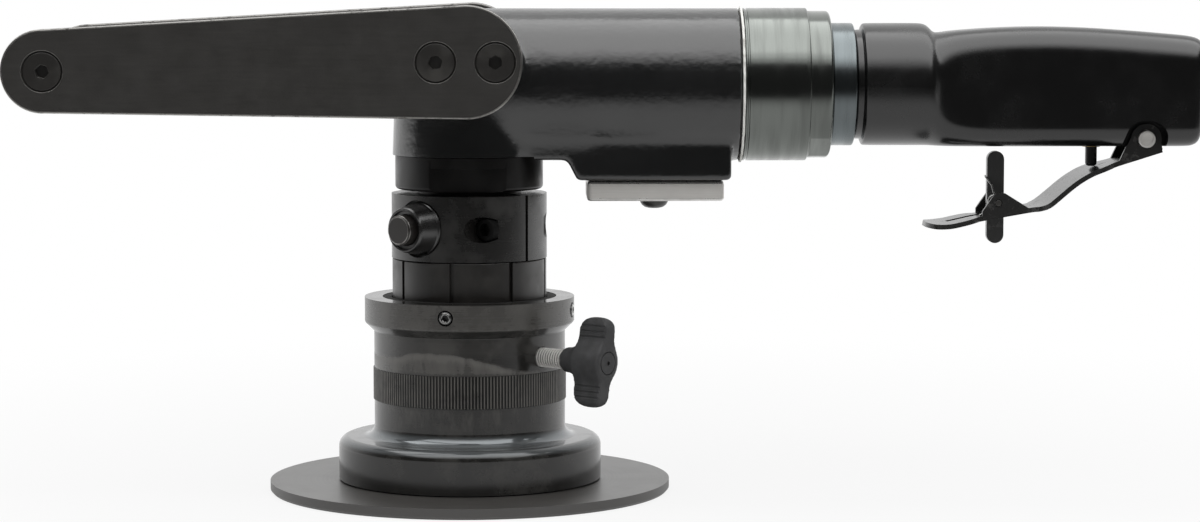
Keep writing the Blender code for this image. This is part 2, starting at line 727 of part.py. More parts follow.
def base_assembly():
    """The base disc, its three screws and the depth adjuster with its click plungers."""
    profile = [
        (OPENING_RADIUS, 0),
        (DISC_RADIUS - DISC_CHAMFER, 0),
        (DISC_RADIUS, DISC_CHAMFER),
        (DISC_RADIUS, DISC_THICKNESS),
        (OPENING_RADIUS, DISC_THICKNESS),
    ]
    disc = piece("base_disc", turned(profile, upright(), ROUND_STEPS + SMALL_STEPS), BLACK_OXIDE)
    adjuster = depth_adjuster()
    for i in range(BASE_SCREW_COUNT):
        azimuth = KNOB_AZIMUTH + 2 * math.pi * i / BASE_SCREW_COUNT
        spot = radial(azimuth, 0, BASE_SCREW_CIRCLE).translation
        place = upright(*spot) @ Matrix.Rotation(math.pi, 4, "X")
        sizes = (BASE_SCREW_HEAD, BASE_SCREW_SHANK, BASE_SCREW_LENGTH)
        countersunk_screw(f"base_screw_{i + 1}", *sizes, BASE_SCREW_SOCKET, GAP, place)
        countersunk_hole(disc, *sizes, GAP, place)
        cut(adjuster, rod(BASE_SCREW_SHANK + GAP, -BASE_SCREW_LENGTH - GAP, 0, place, SMALL_STEPS))
    wiper_ring()
    for i in range(PLUNGER_COUNT):
        azimuth = GROOVE_AZIMUTH + 2 * math.pi * i / PLUNGER_COUNT
        click_plunger(f"click_plunger_{i + 1}", azimuth)
        hole = rod(PLUNGER_RADIUS + GAP, 0, RING_RADIUS + OVERRUN, radial(azimuth, RING_MIDDLE, SLEEVE_RADIUS - OVERRUN))
        cut(adjuster, hole)
    return adjuster


def depth_adjuster():
    """Flange, body, cone and ring, turned from one bar."""
    flange_top = ADJUSTER_BOTTOM + FLANGE_HEIGHT
    ring_bottom = ADJUSTER_TOP - RING_HEIGHT
    cone_bottom = ring_bottom - CONE_HEIGHT
    shoulder = ADJUSTER_BOTTOM + ADJUSTER_SHOULDER
    recess = ADJUSTER_TOP - WIPER_THICKNESS - GAP
    outline = rounded([
        (OPENING_RADIUS, ADJUSTER_BOTTOM, 0),
        (FLANGE_RADIUS, ADJUSTER_BOTTOM, DISC_CHAMFER),
        (FLANGE_RADIUS, flange_top, FLANGE_ROUND),
        (BODY_RADIUS, flange_top, BODY_FILLET),
        (BODY_RADIUS, cone_bottom, 0),
        (RING_RADIUS, ring_bottom, 0),
        (RING_RADIUS, ADJUSTER_TOP, RING_CHAMFER),
        (SLEEVE_FIT + WIPER_WIDTH + GAP, ADJUSTER_TOP, 0),
        (SLEEVE_FIT + WIPER_WIDTH + GAP, recess, 0),
        (SLEEVE_FIT, recess, 0),
        (SLEEVE_FIT, shoulder, 0),
        (OPENING_RADIUS, shoulder, 0),
    ])
    adjuster = piece("depth_adjuster", turned(outline, upright()), BLACK_OXIDE)
    cut(adjuster, rod(STUD_RADIUS + GAP, 0, RING_RADIUS, radial(KNOB_AZIMUTH, KNOB_HEIGHT)))
    return adjuster


def wiper_ring():
    """The tabbed ring that keeps chips out of the thread and slides in the grooves."""
    bottom = ADJUSTER_TOP - WIPER_THICKNESS
    profile = tube_disc(SLEEVE_FIT + WIPER_WIDTH, SLEEVE_FIT, bottom, ADJUSTER_TOP)
    ring = piece("wiper_ring", turned(profile, upright()), RUBBER)
    for i in range(GROOVE_COUNT):
        azimuth = GROOVE_AZIMUTH + 2 * math.pi * i / GROOVE_COUNT
        half = WIPER_TAB_WIDTH / 2
        reach = SLEEVE_RADIUS - WIPER_TAB_REACH
        tab = extruded(
            rectangle(-half, half, 0, WIPER_THICKNESS), SLEEVE_FIT + WIPER_WIDTH / 2 - reach, radial(azimuth, bottom, reach)
        )
        join(ring, tab)


def click_plunger(name, azimuth):
    """A spring plunger with a hex socket, its nose at the mouth of a groove."""
    head = RING_RADIUS + PLUNGER_PROUD
    neck = SLEEVE_FIT + PLUNGER_NOSE_LENGTH
    tip = SLEEVE_FIT
    profile = rounded([
        (0, tip, 0),
        (PLUNGER_NOSE_RADIUS, tip, PLUNGER_NOSE_RADIUS / 2),
        (PLUNGER_NOSE_RADIUS, neck, 0),
        (PLUNGER_RADIUS, neck, 0),
        (PLUNGER_RADIUS, head, PLUNGER_EDGE),
        (0, head, 0),
    ])
    plunger = piece(name, turned(profile, radial(azimuth, RING_MIDDLE), SMALL_STEPS), BLACK_OXIDE)
    start = head - PLUNGER_SOCKET_DEPTH
    cut(plunger, extruded(hexagon(PLUNGER_SOCKET), PLUNGER_SOCKET_DEPTH + OVERRUN, radial(azimuth, RING_MIDDLE, start)))


def grooved_sleeve():
    """The sleeve that the adjuster screws on, with eight click grooves."""
    seat_top = SLEEVE_BOTTOM + SLEEVE_LIP + BEARING_WIDTH + 2 * GAP
    outline = rounded([
        (SLEEVE_LIP_RADIUS, SLEEVE_BOTTOM, 0),
        (SLEEVE_RADIUS, SLEEVE_BOTTOM, SLEEVE_EDGE),
        (SLEEVE_RADIUS, SLEEVE_TOP, SLEEVE_EDGE),
        (SPIGOT_RADIUS, SLEEVE_TOP, 0),
        (SPIGOT_RADIUS, SLEEVE_TOP + SPIGOT_HEIGHT, 0),
        (SLEEVE_BORE, SLEEVE_TOP + SPIGOT_HEIGHT, 0),
        (SLEEVE_BORE, seat_top, 0),
        (BEARING_RADIUS + GAP, seat_top, 0),
        (BEARING_RADIUS + GAP, SLEEVE_BOTTOM + SLEEVE_LIP, 0),
        (SLEEVE_LIP_RADIUS, SLEEVE_BOTTOM + SLEEVE_LIP, 0),
    ])
    sleeve = piece("grooved_sleeve", turned(outline, upright()), BLACK_OXIDE)
    for i in range(GROOVE_COUNT):
        azimuth = GROOVE_AZIMUTH + 2 * math.pi * i / GROOVE_COUNT
        half = GROOVE_WIDTH / 2
        outline = rectangle(-half, half, 0, SLEEVE_TOP - SLEEVE_BOTTOM + 2 * OVERRUN)
        place = radial(azimuth, SLEEVE_BOTTOM - OVERRUN, SLEEVE_RADIUS - GROOVE_DEPTH)
        cut(sleeve, extruded(outline, GROOVE_DEPTH + OVERRUN, place))


def tangent(reach):
    """Local Z runs along the clamp screw, square to the collar's slot, towards its thread end."""
    base = radial(SLOT_AZIMUTH, COLLAR_MIDDLE, CLAMP_LINE)
    return base @ Matrix.Rotation(math.pi / 2, 4, "Y") @ upright(0, 0, reach)


def clamp_collar():
    """The split collar, its clamp screw and the seat of the spindle lock."""
    spigot_fit = SPIGOT_RADIUS + GAP
    outline = rounded([
        (spigot_fit, COLLAR_BOTTOM, 0),
        (COLLAR_RADIUS, COLLAR_BOTTOM, COLLAR_EDGE),
        (COLLAR_RADIUS, COLLAR_TOP, COLLAR_EDGE),
        (COLLAR_BORE, COLLAR_TOP, 0),
        (COLLAR_BORE, COLLAR_BOTTOM + SPIGOT_HEIGHT, 0),
        (spigot_fit, COLLAR_BOTTOM + SPIGOT_HEIGHT, 0),
    ])
    collar = piece("clamp_collar", turned(outline, upright()), BLACK_OXIDE)
    slot = extruded(
        rectangle(-SLOT_WIDTH / 2, SLOT_WIDTH / 2, -OVERRUN, COLLAR_HEIGHT + OVERRUN),
        COLLAR_RADIUS,
        radial(SLOT_AZIMUTH, COLLAR_BOTTOM, COLLAR_BORE - OVERRUN),
    )
    pocket = rod(CLAMP_POCKET_RADIUS, 0, COLLAR_RADIUS, tangent(-CLAMP_POCKET_START - COLLAR_RADIUS))
    far_pocket = rod(CLAMP_POCKET_RADIUS, 0, COLLAR_RADIUS, tangent(CLAMP_POCKET_START))
    hole = rod(CLAMP_SCREW_SHANK + GAP, -CLAMP_POCKET_START - OVERRUN, CLAMP_POCKET_START + OVERRUN, tangent(0))
    seat = rod(LOCK_SEAT_RADIUS, LOCK_SEAT_REACH, COLLAR_RADIUS + OVERRUN, radial(LOCK_AZIMUTH, COLLAR_MIDDLE), MEDIUM_STEPS)
    pin_hole = rod(LOCK_PIN_RADIUS + GAP, 0, COLLAR_RADIUS + OVERRUN, radial(LOCK_AZIMUTH, COLLAR_MIDDLE))
    cut(collar, slot, pocket, far_pocket, hole, seat, pin_hole)

    head_start = -CLAMP_POCKET_START - GAP - CLAMP_SCREW_HEAD_HEIGHT
    profile = rounded([
        (0, head_start, 0),
        (CLAMP_SCREW_HEAD, head_start, COLLAR_EDGE),
        (CLAMP_SCREW_HEAD, -CLAMP_POCKET_START - GAP, 0),
        (CLAMP_SCREW_SHANK, -CLAMP_POCKET_START - GAP, 0),
        (CLAMP_SCREW_SHANK, CLAMP_POCKET_START - GAP, 0),
        (0, CLAMP_POCKET_START - GAP, 0),
    ])
    screw = piece("clamp_screw", turned(profile, tangent(0), SMALL_STEPS), BLACK_OXIDE)
    socket = extruded(
        hexagon(CLAMP_SCREW_SOCKET), CLAMP_SCREW_SOCKET_DEPTH + OVERRUN, tangent(head_start - OVERRUN)
    )
    cut(screw, socket)


def spindle_lock():
    """The lock boss on the collar and the push button that pins the spindle."""
    place = radial(LOCK_AZIMUTH, COLLAR_MIDDLE)
    foot = LOCK_SEAT_REACH + GAP
    bore = BUTTON_RADIUS + GAP
    outline = rounded([
        (LOCK_PIN_RADIUS + GAP, foot, 0),
        (LOCK_BOSS_FOOT_RADIUS, foot, 0),
        (LOCK_BOSS_RADIUS, foot + LOCK_BOSS_FOOT, 0),
        (LOCK_BOSS_FRONT_RADIUS, LOCK_BOSS_FRONT, LOCK_BOSS_EDGE),
        (LOCK_RECESS_RADIUS, LOCK_BOSS_FRONT, 0),
        (LOCK_RECESS_RADIUS, LOCK_BOSS_FRONT - LOCK_RECESS_DEPTH, 0),
        (bore, LOCK_BOSS_FRONT - LOCK_RECESS_DEPTH, 0),
        (bore, BUTTON_BORE_FLOOR, 0),
        (LOCK_PIN_RADIUS + GAP, BUTTON_BORE_FLOOR, 0),
    ])
    piece("spindle_lock_boss", turned(outline, place, MEDIUM_STEPS), BLACK_OXIDE)
    outline = rounded([
        (0, LOCK_PIN_TIP, 0),
        (LOCK_PIN_RADIUS, LOCK_PIN_TIP, LOCK_PIN_RADIUS / 3),
        (LOCK_PIN_RADIUS, BUTTON_SHOULDER, 0),
        (BUTTON_RADIUS, BUTTON_SHOULDER, 0),
        (BUTTON_RADIUS, BUTTON_FRONT, BUTTON_EDGE),
        (0, BUTTON_FRONT, 0),
    ])
    pivot = place @ Vector((0, 0, BUTTON_SHOULDER))
    piece("spindle_lock_button", turned(outline, place, MEDIUM_STEPS), BLACK_OXIDE, pivot)


def bearing_housing():
    """The flatted ring under the neck that holds the lower bearing and the clamp spigot."""
    bottom = HOUSING_RING_BOTTOM
    spigot_bottom = bottom - CLAMP_SPIGOT_LENGTH
    seat_bottom = LOWER_BEARING_TOP - BEARING_WIDTH - GAP
    outline = rounded([
        (CLAMP_SPIGOT_BORE, spigot_bottom, 0),
        (CLAMP_SPIGOT_RADIUS, spigot_bottom, SLEEVE_EDGE),
        (CLAMP_SPIGOT_RADIUS, bottom, 0),
        (BEARING_HOUSING_RADIUS, bottom, BEARING_HOUSING_EDGE),
        (BEARING_HOUSING_RADIUS, HOUSING_RING_TOP, 0),
        (NECK_SPIGOT_RADIUS, HOUSING_RING_TOP, 0),
        (NECK_SPIGOT_RADIUS, HOUSING_RING_TOP + NECK_SPIGOT_HEIGHT, 0),
        (BEARING_RADIUS + GAP, HOUSING_RING_TOP + NECK_SPIGOT_HEIGHT, 0),
        (BEARING_RADIUS + GAP, seat_bottom, 0),
        (CLAMP_SPIGOT_BORE, seat_bottom, 0),
    ])
    housing = piece("bearing_housing", turned(outline, upright()), BLACK_OXIDE)
    far = BEARING_HOUSING_RADIUS + OVERRUN
    top = bottom + WRENCH_FLAT_HEIGHT
    cut(housing, block(-far, far, -far, -WRENCH_FLAT_HALF, bottom - OVERRUN, top))
    cut(housing, block(-far, far, WRENCH_FLAT_HALF, far, bottom - OVERRUN, top))
    cut(housing, rod(LOCK_PIN_RADIUS + GAP, 0, COLLAR_BORE, radial(LOCK_AZIMUTH, COLLAR_MIDDLE)))


def bearings():
    """The spindle's nose, lower and top bearings."""
    ring = (BEARING_RADIUS, BEARING_BORE)
    nose = tube_disc(*ring, NOSE_BEARING_BOTTOM, NOSE_BEARING_BOTTOM + BEARING_WIDTH)
    piece("nose_bearing", turned(nose, upright(), MEDIUM_STEPS), BRIGHT_STEEL)
    lower = tube_disc(*ring, LOWER_BEARING_TOP - BEARING_WIDTH, LOWER_BEARING_TOP)
    piece("lower_bearing", turned(lower, upright(), MEDIUM_STEPS), BRIGHT_STEEL)
    bottom = GEAR_ROOM_TOP + GAP
    top = tube_disc(TOP_BEARING_RADIUS, TOP_BEARING_BORE, bottom, bottom + TOP_BEARING_WIDTH)
    piece("top_bearing", turned(top, upright(), MEDIUM_STEPS), BRIGHT_STEEL)


def gear_housing():
    """The casting: motor barrel, neck, plate bosses and the exhaust lump below."""
    barrel = arc_points((0, 0), HOUSING_RADIUS, -math.pi / 2, 0, FINE_ARC_STEP)
    end = HOUSING_END - HOUSING_END_EDGE
    barrel[0] = (0, -HOUSING_RADIUS)
    barrel[-1] = (HOUSING_RADIUS, 0)
    barrel += [(HOUSING_RADIUS, end), (HOUSING_RADIUS - HOUSING_END_EDGE, HOUSING_END), (0, HOUSING_END)]
    casting = piece("gear_housing", turned(barrel, along_x()), BLACK_PAINT)
    neck_profile = [
        (0, NECK_BOTTOM - OVERRUN),
        (NECK_RADIUS, NECK_BOTTOM - OVERRUN),
        (NECK_RADIUS, NECK_BOTTOM),
        (NECK_RADIUS - NECK_DRAFT, AXIS_HEIGHT),
        (0, AXIS_HEIGHT),
    ]
    neck = turned(neck_profile, upright())
    half = PLATE_SCREW_HALF_PITCH
    boss_centre = (half, PLATE_BIG_HEIGHT)
    boss = belt(boss_centre, PLATE_BOSS_RADIUS, (-half, PLATE_BIG_HEIGHT), PLATE_BOSS_RADIUS, ARC_STEP)
    bosses = extruded(boss, 2 * BOSS_FACE, across_y(BOSS_FACE))
    rise = LUMP_ROOF - LUMP_BOTTOM
    outline = rounded([
        (LUMP_LEFT, LUMP_BOTTOM, LUMP_ROUND),
        (LUMP_RIGHT, LUMP_BOTTOM, LUMP_ROUND / 2),
        (LUMP_RIGHT, LUMP_ROOF, 0),
        (LUMP_LEFT - rise * LUMP_SLOPE_RUN / LUMP_SLOPE_RISE, LUMP_ROOF, 0),
    ])
    lump = extruded(outline, 2 * LUMP_HALF_WIDTH, across_y(LUMP_HALF_WIDTH))
    join(casting, neck, bosses, lump)

    spigot_top = HOUSING_RING_TOP + NECK_SPIGOT_HEIGHT + GAP
    upright_bore = stepped(upright(), LUMP_BOTTOM - OVERRUN, (
        (NECK_RADIUS + GAP, NECK_BOTTOM),
        (NECK_SPIGOT_RADIUS + GAP, spigot_top),
        (GEAR_ROOM_RADIUS, GEAR_ROOM_TOP),
        (TOP_BEARING_RADIUS + GAP, GEAR_ROOM_TOP + TOP_BEARING_WIDTH + 2 * GAP),
    ), ROUND_STEPS)
    motor_bore = stepped(along_x(), GEAR_ROOM_RADIUS / 2, (
        (SHAFT_TUNNEL_RADIUS, MOTOR_BORE_START),
        (MOTOR_BORE, HOUSING_END + OVERRUN),
    ), ROUND_STEPS)
    cut(casting, upright_bore, motor_bore)
    exhaust_chamber(casting)
    for side, place in ((-1, across_y(-BOSS_FACE)), (1, across_y_back(BOSS_FACE))):
        for x in (-half, half):
            height = PLATE_BIG_HEIGHT if side < 0 else -PLATE_BIG_HEIGHT
            depth = PLATE_SCREW_LENGTH - PLATE_THICKNESS + GAP
            cut(casting, rod(PLATE_SCREW_SHANK + GAP, -depth, OVERRUN, place @ upright(x, height)))


def exhaust_chamber(casting):
    """Two pockets beside a screw post in the lump, with a port up to the motor bore."""
    front = -COVER_HALF_WIDTH + EXHAUST_WALL
    top = LUMP_BOTTOM + EXHAUST_HEIGHT
    left = COVER_LEFT + EXHAUST_WALL
    right = COVER_RIGHT - EXHAUST_WALL
    below = LUMP_BOTTOM - OVERRUN
    port_roof = AXIS_HEIGHT - MOTOR_BORE + OVERRUN
    cut(
        casting,
        block(left, COVER_MIDDLE - EXHAUST_POST, front, -front, below, top),
        block(COVER_MIDDLE + EXHAUST_POST, right, front, -front, below, top),
        block(left + EXHAUST_WALL, COVER_MIDDLE - EXHAUST_POST, -EXHAUST_PORT_HALF, EXHAUST_PORT_HALF, below, port_roof),
        block(COVER_MIDDLE + EXHAUST_POST, right - EXHAUST_WALL, -EXHAUST_PORT_HALF, EXHAUST_PORT_HALF, below, port_roof),
        rod(COVER_SCREW_SHANK + GAP, below, COVER_TOP - COVER_HEIGHT + COVER_SCREW_LENGTH + 2 * GAP, upright(COVER_MIDDLE)),
    )


def muffler():
    """The pressed stainless exhaust cover, open at its top, and the button-head screw."""
    bottom = COVER_TOP - COVER_HEIGHT
    outline = rounded([
        (COVER_LEFT, -COVER_HALF_WIDTH, COVER_ROUND),
        (COVER_RIGHT, -COVER_HALF_WIDTH, COVER_ROUND),
        (COVER_RIGHT, COVER_HALF_WIDTH, COVER_ROUND),
        (COVER_LEFT, COVER_HALF_WIDTH, COVER_ROUND),
    ])
    cover = piece("muffler_cover", extruded(outline, COVER_HEIGHT, upright(0, 0, bottom)), STAINLESS)
    bevel_edges(cover, COVER_ROUND / 2)
    wall = COVER_WALL
    inside = rounded([
        (COVER_LEFT + wall, wall - COVER_HALF_WIDTH, COVER_ROUND / 2),
        (COVER_RIGHT - wall, wall - COVER_HALF_WIDTH, COVER_ROUND / 2),
        (COVER_RIGHT - wall, COVER_HALF_WIDTH - wall, COVER_ROUND / 2),
        (COVER_LEFT + wall, COVER_HALF_WIDTH - wall, COVER_ROUND / 2),
    ])
    cut(cover, extruded(inside, COVER_HEIGHT, upright(0, 0, bottom + wall)))
    cut(cover, rod(COVER_SCREW_SHANK + GAP, bottom - OVERRUN, bottom + wall + OVERRUN, upright(COVER_MIDDLE)))
    for side in (-1, 1):
        for i in range(COVER_SLOT_COUNT):
            y = (i - (COVER_SLOT_COUNT - 1) / 2) * COVER_SLOT_PITCH
            x = COVER_MIDDLE + side * (COVER_RIGHT - COVER_LEFT) / 4
            reach = COVER_SLOT_LENGTH / 2
            half = COVER_SLOT_WIDTH / 2
            slot = belt((x + reach, y), half, (x - reach, y), half, math.pi / 2)
            cut(cover, extruded(slot, wall + 2 * OVERRUN, upright(0, 0, bottom - OVERRUN)))
    place = upright(COVER_MIDDLE, 0, bottom - GAP) @ Matrix.Rotation(math.pi, 4, "X")
    profile = rounded([
        (0, COVER_SCREW_HEAD_HEIGHT, 0),
        (COVER_SCREW_HEAD, COVER_SCREW_HEAD_HEIGHT, COVER_SCREW_HEAD_HEIGHT * CORNER_SHARE),
        (COVER_SCREW_HEAD, 0, 0),
        (COVER_SCREW_SHANK, 0, 0),
        (COVER_SCREW_SHANK, -COVER_SCREW_LENGTH, 0),
        (0, -COVER_SCREW_LENGTH, 0),
    ])
    screw = piece("muffler_screw", turned(profile, place, SMALL_STEPS), BLACK_OXIDE)
    depth = COVER_SCREW_HEAD_HEIGHT * SOCKET_DEPTH_SHARE
    cut(screw, extruded(hexagon(COVER_SCREW_SOCKET), depth + OVERRUN, place @ upright(0, 0, COVER_SCREW_HEAD_HEIGHT - depth)))


def front_handle():
    """Two side plates, the cross handle between them and six flat-head screws."""
    small = (-PLATE_REACH, PLATE_SMALL_HEIGHT)
    outline = belt((0, PLATE_BIG_HEIGHT), PLATE_BIG_RADIUS, small, PLATE_SMALL_RADIUS)
    spots = [
        (-PLATE_SCREW_HALF_PITCH, PLATE_BIG_HEIGHT),
        (PLATE_SCREW_HALF_PITCH, PLATE_BIG_HEIGHT),
        small,
    ]
    sizes = (PLATE_SCREW_HEAD, PLATE_SCREW_SHANK, PLATE_SCREW_LENGTH)
    bar_profile = tube_disc(CROSS_HANDLE_RADIUS, 0, -BOSS_FACE, BOSS_FACE, CROSS_HANDLE_EDGE)
    bar_place = across_y(0, *small)
    bar = piece("cross_handle", turned(bar_profile, bar_place, MEDIUM_STEPS), ANODISED)
    for side, start in (("front", -PLATE_INNER), ("rear", PLATE_OUTER)):
        plate = piece(f"side_plate_{side}", extruded(outline, PLATE_THICKNESS, across_y(start)), ANODISED)
        bevel_edges(plate, PLATE_CHAMFER)
        for i, (x, z) in enumerate(spots):
            place = across_y(-PLATE_OUTER, x, z) if side == "front" else across_y_back(PLATE_OUTER, x, z)
            countersunk_screw(f"plate_screw_{side}_{i + 1}", *sizes, PLATE_SCREW_SOCKET, PLATE_SCREW_SUNK, place)
            countersunk_hole(plate, *sizes, PLATE_SCREW_SUNK, place)
            if (x, z) == small:
                hole = rod(PLATE_SCREW_SHANK + GAP, -PLATE_SCREW_LENGTH - GAP, 0, place)
                cut(bar, hole)


def motor():
    """The vane motor's end plates, cylinder and rotor inside the casting."""
    plate_bore = ROTOR_SHAFT_RADIUS + GAP
    front = tube_disc(MOTOR_RADIUS, plate_bore, MOTOR_START, MOTOR_START + MOTOR_PLATE_THICKNESS)
    piece("motor_front_plate", turned(front, along_x(), MEDIUM_STEPS), BRIGHT_STEEL)
    rear = tube_disc(MOTOR_RADIUS, plate_bore, CYLINDER_END + GAP, MOTOR_END)
    piece("motor_rear_plate", turned(rear, along_x(), MEDIUM_STEPS), BRIGHT_STEEL)
    wall = rod(MOTOR_RADIUS, CYLINDER_START, CYLINDER_END, along_x(), MEDIUM_STEPS)
    cylinder = piece("motor_cylinder", wall, BRIGHT_STEEL)
    chamber_place = along_x(0, 0, AXIS_HEIGHT + MOTOR_OFFSET)
    cut(cylinder, rod(MOTOR_CHAMBER_RADIUS, CYLINDER_START - OVERRUN, CYLINDER_END + OVERRUN, chamber_place, MEDIUM_STEPS))
    shaft_start = pinion_back() - GAP
    profile = [
        (0, shaft_start - FACE_WIDTH),
        (ROTOR_SHAFT_RADIUS - GAP * 4, shaft_start - FACE_WIDTH),
        (ROTOR_SHAFT_RADIUS - GAP * 4, shaft_start),
        (ROTOR_SHAFT_RADIUS, shaft_start),
        (ROTOR_SHAFT_RADIUS, CYLINDER_START + GAP),
        (ROTOR_RADIUS, CYLINDER_START + GAP),
        (ROTOR_RADIUS, CYLINDER_END - GAP),
        (ROTOR_SHAFT_RADIUS, CYLINDER_END - GAP),
        (ROTOR_SHAFT_RADIUS, MOTOR_END),
        (0, MOTOR_END),
    ]
    rotor = piece("rotor", turned(profile, along_x(), MEDIUM_STEPS), BRIGHT_STEEL, (0, 0, AXIS_HEIGHT))
    for i in range(ROTOR_SLOT_COUNT):
        half = ROTOR_SLOT_WIDTH / 2
        outline = rectangle(-half, half, ROTOR_RADIUS - ROTOR_SLOT_DEPTH, ROTOR_RADIUS + OVERRUN)
        place = along_x(CYLINDER_START) @ Matrix.Rotation(2 * math.pi * (i + 0.5) / ROTOR_SLOT_COUNT, 4, "Z")
        cut(rotor, extruded(outline, MOTOR_CYLINDER_LENGTH, place))


def motor_ring_group():
    """The gasket, the steel ring behind the casting and the handle's locking collar."""
    gasket = tube_disc(HOUSING_RADIUS + GAP, MOTOR_BORE, GASKET_START, GASKET_START + GASKET_THICKNESS)
    piece("housing_gasket", turned(gasket, along_x()), GASKET_WHITE)
    spigot_start = MOTOR_END + GAP
    bore = HANDLE_SPIGOT_RADIUS + GAP
    outline = rounded([
        (bore, spigot_start, 0),
        (MOTOR_RADIUS, spigot_start, 0),
        (MOTOR_RADIUS, RING_STEEL_START, 0),
        (RING_STEEL_RADIUS, RING_STEEL_START, RING_STEEL_EDGE),
        (RING_STEEL_RADIUS, RING_STEEL_END, RING_STEEL_EDGE),
        (RING_STEP_RADIUS, RING_STEEL_END, 0),
        (RING_STEP_RADIUS, RING_STEP_END, RING_STEP_EDGE),
        (bore, RING_STEP_END, 0),
    ])
    ring = piece("motor_ring", turned(outline, along_x()), BRIGHT_STEEL)
    far = 2 * RING_STEEL_RADIUS
    for turn in (0, math.pi):
        place = along_x(RING_STEEL_END) @ Matrix.Rotation(RING_FLAT_TILT + turn, 4, "Z")
        flat = extruded(rectangle(RING_FLAT_REACH, far, -far, far), RING_STEP_LENGTH + OVERRUN, place)
        cut(ring, flat)
    collar = tube_disc(HANDLE_COLLAR_RADIUS, bore, HANDLE_COLLAR_START, HANDLE_COLLAR_END, HANDLE_COLLAR_EDGE)
    piece("handle_collar", turned(collar, along_x(), MEDIUM_STEPS), BRIGHT_STEEL)


def grip_loop(x, top, bottom, half, top_round, bottom_round, lean=0):
    """One cross-section of the grip, leaning with its height."""
    steps = 3
    loop = []
    quarter = math.pi / 2
    corners = (
        (half - bottom_round, bottom + bottom_round, bottom_round, -quarter),
        (half - top_round, top - top_round, top_round, 0),
        (top_round - half, top - top_round, top_round, quarter),
        (bottom_round - half, bottom + bottom_round, bottom_round, 2 * quarter),
    )
    for y, z, radius, start in corners:
        for i in range(steps + 1):
            angle = start + quarter * i / steps
            height = z + radius * math.sin(angle)
            shift = lean * (height - top) / (top - bottom)
            loop.append((x + shift, y + radius * math.cos(angle), height))
    return loop


